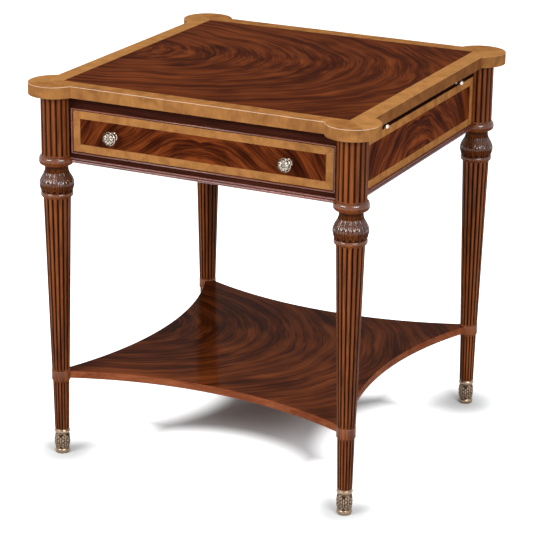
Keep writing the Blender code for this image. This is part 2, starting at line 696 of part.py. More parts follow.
def screw_profile(length, grow=0.0, overrun=0.0):
    """Profile of a flat-headed screw, head first, or of the hole that it goes into."""
    head = SCREW_HEAD_RADIUS + grow
    shank = SCREW_RADIUS + grow
    step = SCREW_HEAD_HEIGHT + grow
    if grow:
        head = around(head, SCREW_SIDES)
        shank = around(shank, SCREW_SIDES)
    return [(0, -overrun), (head, -overrun), (head, step), (shank, step),
            (shank, length + grow), (0, length + grow)]


def top_screw_places():
    """Foot of each screw that goes up into the top: two in the front rail, two in a kicker."""
    front = -(FRIEZE_FACE + FRIEZE_INNER) / 2
    back = FRIEZE_INSIDE - SLIDE_KICKER_WIDTH / 2
    places = {}
    for corner, (side_x, side_y) in CORNERS.items():
        depth, foot = (front, OPENING_TOP) if side_y < 0 else (back, KICKER_BOTTOM)
        places[corner] = (side_x * TOP_SCREW_PLACE, depth, foot)
    return places


def build_top_screws(steel):
    """Screws that hold the top, and the cutter for their holes."""
    holes = bmesh.new()
    for corner, place in top_screw_places().items():
        length = TOP_UNDERSIDE + TOP_SCREW_DEPTH - place[2]
        screw = bmesh.new()
        add_turned(screw, screw_profile(length), SCREW_SIDES)
        add_object("top_screw_" + corner, screw, steel, place)
        add_turned(holes, screw_profile(length, CLEARANCE, OVERRUN), SCREW_SIDES,
                   Matrix.Translation(place))
    add_cutter("top_screw_holes", holes)


def build_shelf(mahogany):
    """Shelf with four hollow sides that die into the collars, pinned into them at its corners."""
    middle = HALF - SHELF_SIDE_INSET
    tip = HALF + SHELF_TIP_BEYOND
    radius = (tip ** 2 + (tip - middle) ** 2) / (2 * (tip - middle))
    away = middle + radius
    sweep = math.asin(tip / radius)
    front = []
    for step in range(SHELF_SEGMENTS):
        angle = sweep * (2 * step / SHELF_SEGMENTS - 1)
        front.append((radius * math.sin(angle), radius * math.cos(angle) - away))
    outline = []
    for quarter in range(4):
        outline += turned_outline(front, quarter)

    collars = bmesh.new()
    size = around(COLLAR_RADIUS + CLEARANCE, TURNED_SIDES)
    post = [(0, SHELF_BOTTOM - OVERRUN), (size, SHELF_BOTTOM - OVERRUN),
            (size, SHELF_TOP + OVERRUN), (0, SHELF_TOP + OVERRUN)]
    for side_x, side_y in CORNERS.values():
        add_turned(collars, post, TURNED_SIDES,
                   Matrix.Translation((side_x * HALF, side_y * HALF, 0)))
    collar_cutter = add_cutter("collar_clearance", collars)

    shape = bmesh.new()
    add_prism(shape, outline, (SHELF_BOTTOM, SHELF_TOP))
    board = add_object("shelf", shape, mahogany)

    pins = bmesh.new()
    holes = bmesh.new()
    height = (SHELF_BOTTOM + SHELF_TOP) / 2
    near = COLLAR_RADIUS - PIN_IN_LEG
    far = COLLAR_RADIUS + PIN_IN_SHELF
    hole = around(PIN_RADIUS + CLEARANCE, PIN_SIDES)
    for side_x, side_y in CORNERS.values():
        inward = Vector((-side_x, -side_y, 0)).to_track_quat("Z", "Y").to_matrix().to_4x4()
        place = Matrix.Translation((side_x * HALF, side_y * HALF, height)) @ inward
        add_turned(pins, [(0, near), (PIN_RADIUS, near), (PIN_RADIUS, far), (0, far)],
                   PIN_SIDES, place)
        add_turned(holes, [(0, near - CLEARANCE), (hole, near - CLEARANCE), (hole, far), (0, far)],
                   PIN_SIDES, place)
    add_cutter("shelf_pin_holes", holes)
    combine(board, collar_cutter, "DIFFERENCE")
    combine(board, add_cutter("shelf_pins", pins), "UNION")


def cockbead_section():
    """Depth from the outer edge and place in y of a strip with a round nose."""
    half = COCKBEAD_WIDTH / 2
    nose = FRIEZE_FACE + COCKBEAD_PROUD - half
    section = [(0, -FRIEZE_INNER)]
    for step in range(5):
        angle = math.pi * step / 4
        section.append((half - half * math.cos(angle), -nose - half * math.sin(angle)))
    return section + [(COCKBEAD_WIDTH, -FRIEZE_INNER)]


def build_cockbeads(mahogany, parent):
    """Four mitred beads round the drawer's front."""
    shape = bmesh.new()
    stations = []
    for side, facing in ((-1, -1), (1, -1), (1, 1), (-1, 1)):
        edge = FRONT_HIGH if facing > 0 else FRONT_LOW
        stations.append([shape.verts.new((side * (FRONT_HALF_WIDTH - deep), y,
                                          edge - facing * deep))
                         for deep, y in cockbead_section()])
    for first, second in zip(stations, stations[1:] + stations[:1]):
        for index in range(len(first)):
            shape.faces.new((first[index - 1], first[index], second[index], second[index - 1]))
    add_object("drawer_cockbeads", shape, mahogany, parent=parent)


def build_drawer(finishes):
    """Drawer with a veneered front inside cockbeads, two knobs and a plain box behind."""
    mahogany, flame, banding, oak, brass, steel = finishes
    slide = bpy.data.objects.new("drawer_way", None)
    slide.location = (0, -FRIEZE_FACE, FRONT_MIDDLE)
    bpy.context.collection.objects.link(slide)

    bores = bmesh.new()
    inside = FRIEZE_INNER - CLEARANCE - SCREW_HEAD_HEIGHT
    length = FRIEZE_FACE + KNOB_BORE_DEPTH - inside
    forward = Matrix.Rotation(math.pi / 2, 4, "X")
    bore = around(SCREW_RADIUS + CLEARANCE, KNOB_SIDES)
    for name, side in (("left", -1), ("right", 1)):
        place = (side * KNOB_PLACE, -inside, FRONT_MIDDLE)
        screw = bmesh.new()
        add_turned(screw, screw_profile(length), SCREW_SIDES, forward)
        add_object("drawer_knob_screw_" + name, screw, steel, place, slide)
        add_turned(bores, [(0, 0), (bore, 0), (bore, length), (0, length)], KNOB_SIDES,
                   Matrix.Translation(place) @ forward)
    knob_bores = add_cutter("knob_bores", bores)

    front = block("drawer_front", (-CORE_HALF_WIDTH, -PANEL_CORE_FACE, CORE_LOW),
                  (CORE_HALF_WIDTH, -FRIEZE_INNER, CORE_HIGH), mahogany, slide)
    combine(front, knob_bores, "DIFFERENCE")

    face = (-FRIEZE_FACE, VENEER - FRIEZE_FACE)
    field_half = CORE_HALF_WIDTH - PANEL_BAND_WIDTH
    field_low = CORE_LOW + PANEL_BAND_WIDTH
    field_high = CORE_HIGH - PANEL_BAND_WIDTH
    gap = CLEARANCE
    field = block("drawer_field", (gap - field_half, face[0], field_low + gap),
                  (field_half - gap, face[1], field_high - gap), flame, slide)
    combine(field, knob_bores, "DIFFERENCE")
    shape = bmesh.new()
    add_band(shape, rectangle(CORE_HALF_WIDTH, CORE_LOW, CORE_HIGH),
             rectangle(field_half, field_low, field_high), (-face[1], -face[0]), forward)
    add_object("drawer_banding", shape, banding, parent=slide)
    build_cockbeads(mahogany, slide)

    for name, side in (("left", -1), ("right", 1)):
        across = sorted((side * DRAWER_SIDE_INNER, side * DRAWER_SIDE_FACE))
        block("drawer_side_" + name, (across[0], -FRIEZE_INSIDE, DRAWER_RUN),
              (across[1], DRAWER_REAR, DRAWER_SIDE_TOP), oak, slide)
    within = DRAWER_SIDE_INNER - CLEARANCE
    block("drawer_bottom", (-within, -FRIEZE_INSIDE, DRAWER_BOTTOM_LOW),
          (within, DRAWER_REAR, DRAWER_BOTTOM_HIGH), oak, slide)
    block("drawer_back", (-within, DRAWER_REAR - DRAWER_SIDE_THICKNESS,
                          DRAWER_BOTTOM_HIGH + CLEARANCE),
          (within, DRAWER_REAR, DRAWER_SIDE_TOP - DRAWER_BACK_DROP), oak, slide)

    head = KNOB_PROUD - KNOB_HEAD_HEIGHT
    rim = KNOB_PROUD - KNOB_HEAD_HEIGHT / 3
    dome_shares = ((0.97, 0.75), (0.75, 0.9), (0.4, 0.97))
    rise = KNOB_PROUD - rim
    profile = [(0, KNOB_BORE_DEPTH + CLEARANCE), (bore, KNOB_BORE_DEPTH + CLEARANCE), (bore, 0),
               (KNOB_BASE_RADIUS, 0), (KNOB_BASE_RADIUS, KNOB_BASE_HEIGHT),
               (KNOB_STEM_RADIUS, KNOB_BASE_HEIGHT + KNOB_BASE_RADIUS - KNOB_STEM_RADIUS)]
    profile += ogee(head, rim, KNOB_STEM_RADIUS, KNOB_RADIUS, 4)
    profile += [(KNOB_RADIUS * out, rim + rise * up) for out, up in dome_shares]
    profile += [(0, KNOB_PROUD)]
    for name, side in (("left", -1), ("right", 1)):
        shape = bmesh.new()
        add_turned(shape, profile, KNOB_SIDES, forward)
        add_object("drawer_knob_" + name, shape, brass,
                   (side * KNOB_PLACE, -FRIEZE_FACE - CLEARANCE, FRONT_MIDDLE), slide)


def build_drawer_ways(oak):
    """Runners with guides on the side aprons, and stops on the bottom rail."""
    near = FRIEZE_INSIDE - RUNNER_WIDTH
    guide = DRAWER_SIDE_FACE + 2 * CLEARANCE
    low = OPENING_BOTTOM - RUNNER_HEIGHT
    section = [(near, low), (FRIEZE_INSIDE, low), (FRIEZE_INSIDE, OPENING_BOTTOM + GUIDE_HEIGHT),
               (guide, OPENING_BOTTOM + GUIDE_HEIGHT), (guide, OPENING_BOTTOM),
               (near, OPENING_BOTTOM)]
    front = FRIEZE_FACE - BOTTOM_RAIL_DEPTH - CLEARANCE
    stand = Matrix.Rotation(math.pi / 2, 4, "X")
    for name, side in (("left", -1), ("right", 1)):
        shape = bmesh.new()
        add_prism(shape, [(side * x, z) for x, z in section], (-FRIEZE_INSIDE, front), stand)
        add_object("drawer_runner_" + name, shape, oak)
        middle = side * STOP_PLACE
        block("drawer_stop_" + name, (middle - STOP_LENGTH / 2, -FRIEZE_INSIDE, DRAWER_RUN),
              (middle + STOP_LENGTH / 2, STOP_DEPTH - FRIEZE_INSIDE, DRAWER_RUN + STOP_HEIGHT), oak)


def build_slide(mahogany, oak, brass):
    """Brushing slide: a board behind a lipping with two knobs, and a stop block under it."""
    slide = bpy.data.objects.new("slide_way", None)
    slide.location = (SLIDE_LIP_FACE, 0, SLIDE_BOTTOM)
    bpy.context.collection.objects.link(slide)
    end = SLIDE_LIP_BACK - CLEARANCE
    block("slide_board", (end - SLIDE_BOARD_LENGTH, -SLIDE_HALF_WIDTH, SLIDE_BOTTOM),
          (end, SLIDE_HALF_WIDTH, SLIDE_TOP), mahogany, slide)
    low = APRON_TOP + SLIDE_LIP_GAP
    high = low + SLIDE_LIP_HEIGHT
    lipping = block("slide_lipping", (SLIDE_LIP_BACK, -SLIDE_HALF_WIDTH, low),
                    (SLIDE_LIP_FACE, SLIDE_HALF_WIDTH, high), mahogany, slide)

    block_end = SLIDE_STOP_FACE - SLIDE_STOP_WIDTH - CLEARANCE - SLIDE_TRAVEL
    block("slide_stop_block",
          (block_end - SLIDE_BLOCK_LENGTH, -SLIDE_BLOCK_HALF_WIDTH, SLIDE_RUNNER_BOTTOM),
          (block_end, SLIDE_BLOCK_HALF_WIDTH, SLIDE_BOTTOM - CLEARANCE), oak, slide)

    outward = Matrix.Rotation(math.pi / 2, 4, "Y")
    neck = SLIDE_KNOB_NECK_RADIUS
    ball = SLIDE_KNOB_RADIUS
    middle = SLIDE_KNOB_NECK_LENGTH + ball
    start = math.asin(neck / ball)
    profile = [(0, -SLIDE_KNOB_PIN_LENGTH), (SLIDE_KNOB_PIN_RADIUS, -SLIDE_KNOB_PIN_LENGTH),
               (SLIDE_KNOB_PIN_RADIUS, 0), (neck + CLEARANCE, 0)]
    for step in range(7):
        angle = start + (math.pi - start) * step / 6
        profile.append((ball * math.sin(angle), middle - ball * math.cos(angle)))
    profile[-1] = (0, middle + ball)
    hole = around(SLIDE_KNOB_PIN_RADIUS + CLEARANCE, SLIDE_KNOB_SIDES)
    bores = bmesh.new()
    for name, side in (("front", -1), ("back", 1)):
        place = (SLIDE_LIP_FACE + CLEARANCE, side * SLIDE_KNOB_PLACE, (low + high) / 2)
        shape = bmesh.new()
        add_turned(shape, profile, SLIDE_KNOB_SIDES, outward)
        add_object("slide_knob_" + name, shape, brass, place, slide)
        deep = SLIDE_KNOB_PIN_LENGTH + CLEARANCE
        add_turned(bores, [(0, -deep), (hole, -deep), (hole, OVERRUN), (0, OVERRUN)],
                   SLIDE_KNOB_SIDES, Matrix.Translation(place) @ outward)
    combine(lipping, add_cutter("slide_knob_bores", bores), "DIFFERENCE")


def build_slide_ways(oak):
    """Runners under the slide, kickers over it, and the rail that stops it both ways."""
    edge = FRIEZE_INSIDE
    for name, facing in (("front", -1), ("back", 1)):
        across = sorted((facing * (edge - SLIDE_RUNNER_WIDTH), facing * edge))
        block("slide_runner_" + name, (-edge, across[0], SLIDE_RUNNER_BOTTOM),
              (edge, across[1], SLIDE_RUNNER_TOP), oak)
        across = sorted((facing * (edge - SLIDE_KICKER_WIDTH), facing * edge))
        kicker = block("slide_kicker_" + name, (-edge, across[0], KICKER_BOTTOM),
                       (edge, across[1], UNDER_TOP), oak)
        if name == "back":
            combine(kicker, bpy.data.objects["top_screw_holes"], "DIFFERENCE")
    half = edge - SLIDE_RUNNER_WIDTH - CLEARANCE
    block("slide_stop_rail", (SLIDE_STOP_FACE - SLIDE_STOP_WIDTH, -half, APRON_TOP + CLEARANCE),
          (SLIDE_STOP_FACE, half, SLIDE_RUNNER_TOP - CLEARANCE), oak)


def build_table():
    """Builds every piece."""
    clear_scene()
    mahogany = material("mahogany", (0.17, 0.05, 0.02), 0.3)
    core = material("core_mahogany", (0.14, 0.05, 0.03), 0.4)
    flame = material("flame_mahogany", (0.16, 0.04, 0.015), 0.2)
    banding = material("satinwood_banding", (0.37, 0.17, 0.07), 0.25)
    oak = material("oak", (0.36, 0.24, 0.13), 0.6)
    brass = material("antique_brass", (0.3, 0.22, 0.14), 0.35, 1.0)
    steel = material("steel", (0.35, 0.35, 0.35), 0.4, 1.0)

    build_top_screws(steel)
    build_shelf(mahogany)
    build_legs(mahogany, brass)
    leg_clearance()
    build_top(core, flame, banding)
    build_rails(mahogany)
    build_side("left", mahogany, flame, banding)
    build_side("right", mahogany, flame, banding)
    build_mouldings(mahogany)
    build_drawer((mahogany, flame, banding, oak, brass, steel))
    build_drawer_ways(oak)
    build_slide(mahogany, oak, brass)
    build_slide_ways(oak)


build_table()
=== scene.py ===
# A square side table in French-polished mahogany, set out in the order in which it is put together:
# the legs and their brass caps, the frame with its veneered sides and mouldings, the drawer, the
# brushing slide, the shelf and the top, and then the room it stands in.

import math

import bmesh
import bpy
from mathutils import Matrix, Vector


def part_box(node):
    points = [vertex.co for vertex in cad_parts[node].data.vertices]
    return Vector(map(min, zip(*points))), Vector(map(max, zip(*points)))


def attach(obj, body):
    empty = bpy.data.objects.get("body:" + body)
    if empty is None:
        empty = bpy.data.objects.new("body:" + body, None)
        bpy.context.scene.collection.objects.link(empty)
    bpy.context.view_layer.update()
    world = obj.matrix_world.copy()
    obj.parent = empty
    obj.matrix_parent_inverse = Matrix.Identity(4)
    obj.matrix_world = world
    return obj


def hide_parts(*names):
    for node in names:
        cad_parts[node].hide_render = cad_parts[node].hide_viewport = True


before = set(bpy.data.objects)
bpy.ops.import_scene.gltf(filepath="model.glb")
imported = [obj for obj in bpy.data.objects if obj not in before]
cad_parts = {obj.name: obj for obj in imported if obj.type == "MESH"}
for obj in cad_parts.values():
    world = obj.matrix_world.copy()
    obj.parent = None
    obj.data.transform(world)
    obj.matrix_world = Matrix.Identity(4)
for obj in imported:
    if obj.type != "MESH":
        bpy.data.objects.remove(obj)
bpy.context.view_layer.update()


# THE LEGS
# Four legs, each turned from one length of straight mahogany, reeded by hand above and below, with
# a ring, a bulb carved with three overlapping rows of leaves, a smaller ring, and a plain collar
# that takes the shelf. They are French polished, darker on the rings and bulb, and their grooves,
# coves and carved cuts are painted dark as painted shade.
leg_axis = round((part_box("leg_front_right")[0][0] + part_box("leg_front_right")[1][0]) / 2, 5)
CORNERS = {"front_left": (-1, -1), "front_right": (1, -1),
           "back_right": (1, 1), "back_left": (-1, 1)}


def tone(red, green, blue):
    """A colour as the eye reads it, 0 to 255, turned into the linear colour that a shader takes."""
    return tuple((c / 255 / 12.92 if c < 11 else ((c / 255 + 0.055) / 1.055) ** 2.4)
                 for c in (red, green, blue)) + (1.0,)


def feed(tree, node, values):
    """Fills a node's inputs. A value that is a socket is linked, and any other is set."""
    for key, value in dict(values).items():
        if isinstance(value, bpy.types.NodeSocket):
            tree.links.new(value, node.inputs[key])
        else:
            node.inputs[key].default_value = value
    return node


def put(tree, kind, values=(), **settings):
    """One new shader node with its settings and its inputs."""
    made = tree.nodes.new("ShaderNode" + kind)
    for key, value in settings.items():
        setattr(made, key, value)
    return feed(tree, made, values)


def reckon(tree, operation, *values):
    """One step of arithmetic on numbers."""
    return put(tree, "Math", enumerate(values), operation=operation).outputs[0]


def reckon_place(tree, operation, *values):
    """One step of arithmetic on places."""
    return put(tree, "VectorMath", enumerate(values), operation=operation).outputs[0]


def noise(tree, place, scale, detail, roughness=0.5, distortion=0.0):
    """Cloudy noise over the places of a pattern."""
    return put(tree, "TexNoise", {"Vector": place, "Scale": scale, "Detail": detail,
                                  "Roughness": roughness, "Distortion": distortion}).outputs["Fac"]


def drawn_out_noise(tree, place, scale, *look):
    """Noise with its own scale along each axis, so that it draws out into streaks."""
    return noise(tree, reckon_place(tree, "MULTIPLY", place, scale), 1.0, *look)


def refit(tree, value, low, high, least=0.0, most=1.0, **settings):
    """A value made to run from least to most while it runs from low to high."""
    return put(tree, "MapRange", {"Value": value, "From Min": low, "From Max": high,
                                  "To Min": least, "To Max": most}, **settings).outputs[0]


def blend(tree, share, first, second):
    """The first colour with a share of the second laid over it."""
    return put(tree, "MixRGB", {"Fac": share, "Color1": first, "Color2": second}).outputs[0]


def mark(tree, name):
    """A number that the piece carries at each of its points, such as how deep in a hollow it is."""
    return put(tree, "Attribute", attribute_name=name).outputs["Fac"]


def effect(name, inputs, outputs):
    """An empty node group with named sockets, and its two end nodes."""
    tree = bpy.data.node_groups.new(name, "ShaderNodeTree")
    kinds = {"f": "NodeSocketFloat", "c": "NodeSocketColor", "v": "NodeSocketVector"}
    for label, kind in inputs:
        tree.interface.new_socket(label, in_out="INPUT", socket_type=kinds[kind])
    for label, kind in outputs:
        tree.interface.new_socket(label, in_out="OUTPUT", socket_type=kinds[kind])
    return tree, tree.nodes.new("NodeGroupInput").outputs, tree.nodes.new("NodeGroupOutput")


def place_effect(tree, group, values):
    """A node group set into a material with its own values."""
    return put(tree, "Group", values, node_tree=group).outputs


# Straight grain: long streaks along Z with fine pores, for every piece of solid mahogany and oak.
straight_grain, given, result = effect(
    "straight grain",
    (("Place", "v"), ("Light", "c"), ("Dark", "c"), ("Streaks", "f"), ("Length", "f")),
    (("Color", "c"), ("Pores", "f")))
tree = straight_grain
along = reckon(tree, "DIVIDE", given["Streaks"], given["Length"])
stretch = put(tree, "CombineXYZ", {"X": given["Streaks"], "Y": given["Streaks"],
                                   "Z": along}).outputs[0]
laid = reckon_place(tree, "MULTIPLY", given["Place"], stretch)
broad = noise(tree, laid, 0.35, 3.0, 0.6)
fine = noise(tree, laid, 1.6, 4.0, 0.7)
lit_share = refit(tree, reckon(tree, "ADD", broad, fine), 0.72, 1.28)
pores = drawn_out_noise(tree, laid, (6.0, 6.0, 1.2), 2.0)
feed(tree, result, {"Color": blend(tree, lit_share, given["Dark"], given["Light"]),
                    "Pores": refit(tree, pores, 0.36, 0.46)})


def polished(name, roughness=0.3, coat=0.0, sheen=1.5):
    """A material with French polish over it, with its nodes and its shader. sheen is its IOR."""
    made = bpy.data.materials.new(name)
    made.use_nodes = True
    tree = made.node_tree
    shader = feed(tree, tree.nodes["Principled BSDF"], {
        "Roughness": roughness, "IOR": sheen, "Coat Weight": coat, "Coat Roughness": 0.09})
    return made, tree, shader


def gloss(tree, shader, colour, height, depth, low, high):
    """Feeds the shader its colour, a little unevenness and a shine that changes over the piece."""
    cloud = noise(tree, put(tree, "TexCoord").outputs["Object"], 22.0, 3.0)
    bump = put(tree, "Bump", {"Height": height, "Distance": depth, "Strength": 0.6}).outputs[0]
    feed(tree, shader, {"Base Color": colour, "Roughness": refit(tree, cloud, 0.3, 0.7, low, high),
                        "Normal": bump})


def place_on_piece(tree, turn, centre=(0, 0, 0)):
    """A place on the piece, measured from a centre and turned to the axes of a pattern."""
    where = reckon_place(tree, "SUBTRACT", put(tree, "TexCoord").outputs["Object"], centre)
    return put(tree, "Mapping", {"Vector": where, "Rotation": turn}).outputs[0]


def straight_wood(name, light, dark, hollow, turn=(0, 0, 0), streaks=140.0, coat=0.1, sheen=1.05):
    """Solid wood with its grain along Z, or turned to lie along another axis.

    Where the piece marks itself with "hollow", the hollow colour is laid over it: painted shade in
    the grooves, coves and carved cuts of the legs, and a darker polish on their rings and bulb.
    With coat=None the gloss of the polish follows the piece's own mark "shine".
    """
    light, dark, hollow = tone(*light), tone(*dark), tone(*hollow)
    made, tree, shader = polished(name, 0.35, coat or 0.0, sheen)
    wood = place_effect(tree, straight_grain, {"Place": place_on_piece(tree, turn), "Light": light,
                                               "Dark": dark, "Streaks": streaks, "Length": 16.0})
    worn = blend(tree, wood["Pores"], hollow, wood["Color"])
    soft = blend(tree, 0.55, wood["Color"], worn)
    # The mark "hollow" lays painted shade, and on the legs' rings and bulb a darker polish, over
    # the wood.
    with_shade_and_polish = blend(tree, mark(tree, "hollow"), soft, hollow)
    gloss(tree, shader, with_shade_and_polish, wood["Pores"], 0.0003, 0.26, 0.42)
    if coat is None:
        feed(tree, shader, {"Coat Roughness": 0.17, "Coat IOR": 1.6,
                            "Coat Weight": mark(tree, "shine")})
    return made


# The third colour is that of the painted shade in the grooves, coves and cuts of the legs.
reed_mahogany = straight_wood("reeded mahogany", (156, 84, 36), (92, 42, 18), (20, 7, 4), coat=None)

# Heights and radii on the leg, from the profile of the turned solid
column_top, ring_top, ring_foot = 0.6897, 0.577, 0.5604
neck_top, bulb_top, bulb_wide, bulb_foot = 0.5554, 0.5524, 0.5249, 0.5107
lower_ring_foot, collar_top, collar_foot, leg_foot = 0.5004, 0.16525, 0.14575, 0.0488
column_radius, ring_bulge, neck_radius = 0.0268, 0.0049, 0.0212
bulb_swell, bulb_foot_radius = 0.0102, 0.0280
lower_ring_radius, lower_ring_bulge = 0.0263, 0.0031
taper_wide, taper_narrow, foot_wide, foot_narrow = 0.0250, 0.0166, 0.0154, 0.0136
collar_radius, collar_round = 0.01595, 0.0012
spigot_radius, spigot_foot = 0.0102, 0.0033

# The reeds: how many, how deep they are cut, and the length over which they run out at an end. The
# taper is cut deeper where it is thicker, and the painted shade in a groove is darkest from
# darkest_shade_depth on.
reed_count, reed_steps, reed_shape = 16, 16, 0.97
column_cut, taper_cut, taper_extra_cut, foot_cut = 0.0029, 0.0019, 0.0008, 0.0017
column_run_out, taper_run_out, foot_run_out = 0.0060, 0.0052, 0.0045
taper_thin, taper_thickening, darkest_shade_depth = 0.0163, 0.0083, 0.0016

# The rows of leaves on the bulb, the hindmost first: relief, number round the bulb, offset in
# leaves, how far down the tips come, and width at the stem and below it
leaf_rows = ((0.55, 16, 0.5, 1.06, 0.70, 0.98),
             (0.80, 8, 0.0, 0.95, 0.50, 1.0),
             (1.0, 8, 0.5, 0.80, 0.52, 1.0))
leaf_cut, rib_width, vein_place, vein_width = 0.0019, 0.10, 0.19, 0.06

# Darker polish on the bulb and the rings, painted shade in the coves and under the collar, 0 to 1,
# and how much of the grooves' painted shade the column keeps
bulb_polish, ring_polish, cove_shade, collar_foot_shade, column_share = 0.48, 0.28, 0.90, 0.8, 0.86


def ease(value, low, high):
    """0 below low, 1 above high, and a smooth rise between."""
    share = min(max((value - low) / (high - low), 0.0), 1.0)
    return share * share * (3 - 2 * share)


def near(value, place, width):
    """1 at a place, and a smooth fall to 0 on both sides of it."""
    return math.exp(-(((value - place) / width) ** 2))


def off_middle(angle, count, offset=0.0):
    """How far an angle is from the middle of its part of a circle cut in count parts: 0 to 1."""
    return abs((angle / math.tau * count + offset + 0.5) % 1.0 - 0.5) * 2


def reed(angle):
    """How far into the wood a reed's section is at this angle: 0 on its crest, 1 in the groove."""
    across = off_middle(angle, reed_count) * reed_shape
    return (1 - math.sqrt(1 - across ** 2)) / (1 - math.sqrt(1 - reed_shape ** 2))


def round_bead(start, end, radius, bulge, count):
    """Points of a bead in a profile, from the height start to the height end."""
    turns = [math.pi * k / count for k in range(count + 1)]
    return [(radius + bulge * math.sin(turn), start + (end - start) * (1 - math.cos(turn)) / 2)
            for turn in turns]


def quarter_round(start, end, count):
    """Points of a quarter of an ellipse, level where it starts and upright where it ends."""
    turns = [math.pi / 2 * k / count for k in range(count + 1)]
    across, along = end[0] - start[0], end[1] - start[1]
    return [(start[0] + across * math.sin(turn), start[1] + along * (1 - math.cos(turn)))
            for turn in turns]


def taper(high, low, wide, narrow, from_high, from_low, count):
    """Points down a taper that keeps a little off its neighbours, set closer at its two ends."""
    gap = 0.0003
    top, foot = high - gap, low + gap
    plain = top - foot - from_high[-1] - from_low[0]
    heights = [top - step for step in from_high]
    heights += [top - from_high[-1] - plain * k / count for k in range(1, count)]
    heights += [foot + step for step in from_low]
    return [(wide + (narrow - wide) * (top - z) / (top - foot), z) for z in heights]


def leg_profile():
    """Radius and height of the turning, from the top down, before it is reeded and carved."""
    bulb_radius, collar_edge = neck_radius + bulb_swell, collar_radius + collar_round
    close_steps = (0, 0.0008, 0.0016, 0.0026, 0.0038, 0.005)
    line = [(0.0, column_top), (column_radius, column_top)]
    line += [(column_radius, height) for height in (
        0.66, 0.63, 0.60, 0.590, 0.5875, 0.586, 0.5845, 0.583, 0.5815, 0.580, 0.579, 0.578)]
    line += round_bead(ring_top, ring_foot, column_radius, ring_bulge, 14)
    line += quarter_round((column_radius, ring_foot), (neck_radius, neck_top), 5)[1:]
    line += [(neck_radius, (neck_top + bulb_top) / 2), (neck_radius, bulb_top)]
    line += [(neck_radius + bulb_swell * (1 - math.cos(math.pi * k / 32)) / 2,
              bulb_top + (bulb_wide - bulb_top) * k / 32) for k in range(1, 33)]
    under_bulb = quarter_round((bulb_foot_radius, bulb_foot), (bulb_radius, bulb_wide), 16)
    line += under_bulb[::-1][1:]
    line += round_bead(bulb_foot, lower_ring_foot, lower_ring_radius, lower_ring_bulge, 10)
    line += taper(lower_ring_foot, collar_top, taper_wide, taper_narrow,
                  close_steps, close_steps[::-1], 14)
    high_edge, low_edge = collar_top - collar_round, collar_foot + collar_round
    upper_edge = quarter_round((collar_radius, collar_top), (collar_edge, high_edge), 6)
    lower_edge = quarter_round((collar_radius, collar_foot), (collar_edge, low_edge), 6)
    line += upper_edge + lower_edge[::-1]
    line += taper(collar_foot, leg_foot, foot_wide, foot_narrow,
                  (0, 0.0008, 0.0016, 0.0026, 0.004), (0.002, 0), 6)
    return line + [(spigot_radius, leg_foot), (spigot_radius, spigot_foot), (0.0, spigot_foot)]


def leaf(angle, height):
    """Relief and painted shade of the carved bulb at an angle and height, each from 0 to 1."""
    down = (bulb_top - height) / (bulb_top - bulb_foot)
    relief, dark = 0.25, 0.9
    for level, count, offset, tip, narrow, wide in leaf_rows:
        aside = off_middle(angle, count, offset)
        stroke = abs(math.sin(math.pi * (down * 2.4 - aside * 1.8 * 8 / count + 0.20))) ** 0.5
        spread = narrow + (wide - narrow) * ease(down, 0.0, 0.5)
        spread *= math.sqrt(max(0.0, 1 - ease(down, tip - 0.26, tip)))
        inside = spread * (0.84 + 0.16 * stroke) - aside
        vein = near(aside, vein_place, vein_width)
        cut = max(stroke, near(aside, 0.0, rib_width)) * (1 - 0.8 * vein) * ease(inside, 0.0, 0.12)
        cover = ease(inside, -0.03, 0.0)
        relief += (level * (0.62 + 0.38 * cut) - relief) * cover
        # The cuts between the leaves are painted dark: painted shade.
        dark += (0.95 * ease(-cut, -0.72, -0.25) - dark) * cover
    return min(relief, 1.0), dark


def carve_leg(radius, angle, height):
    """The finished radius at a place on the turning, its painted shade and darker polish, and its
    shine.
    """
    if bulb_top > height > bulb_foot:
        ends = min(ease(height - bulb_foot, 0.0, 0.002), ease(bulb_top - height, 0.0, 0.006))
        raised, dark = leaf(angle, height)
        lit = ease(height - bulb_wide, -0.003, 0.004) * ease(bulb_top - height, 0.004, 0.010)
        carved = radius - leaf_cut * (1 - raised) * (0.25 + 0.75 * ends)
        # Painted shade in the carved cuts, over a darker polish on the whole bulb.
        return carved, max(dark, bulb_polish), 0.02 + 0.98 * lit * (1 - dark) ** 0.7
    if height > ring_top + 0.0005:
        depth = column_cut * ease(height - ring_top, 0.0008, column_run_out) ** 0.5
    elif lower_ring_foot > height > collar_top:
        from_end = min(height - collar_top, lower_ring_foot - height)
        depth = taper_cut + taper_extra_cut * (radius - taper_thin) / taper_thickening
        depth *= ease(from_end, 0.0, taper_run_out) ** 0.5
    elif collar_foot > height > leg_foot + 0.0002:
        depth = foot_cut * ease(collar_foot - height, 0.0, foot_run_out) ** 0.5
    elif height > collar_top:
        # Painted shade in the cove under the ring and in the groove at the bulb's foot, over a
        # darker polish on the rings.
        in_cove = max(near(height, neck_top, 0.0040), near(height, bulb_foot, 0.0012))
        high, low = (ring_top, ring_foot) if height > bulb_top else (bulb_foot, lower_ring_foot)
        lit = ease(height - (high + low) / 2, -0.001, 0.001)
        return radius, max(cove_shade * in_cove, ring_polish), 0.04 + 0.94 * lit * (1 - in_cove)
    else:
        on_arris = near(height, collar_top, 0.0012)
        # Painted shade at the foot of the collar.
        return radius, collar_foot_shade * near(height, collar_foot, 0.0007), 0.12 + 0.8 * on_arris
    # Painted shade in the grooves between the reeds, darker where they are cut deeper.
    sunk = reed(angle)
    dark = ease(math.sqrt(sunk) * min(depth / darkest_shade_depth, 1.0), 0.16, 0.84)
    if height > ring_top:
        dark *= column_share
    return radius - depth * sunk, dark, 0.14 * (1 - dark) ** 2


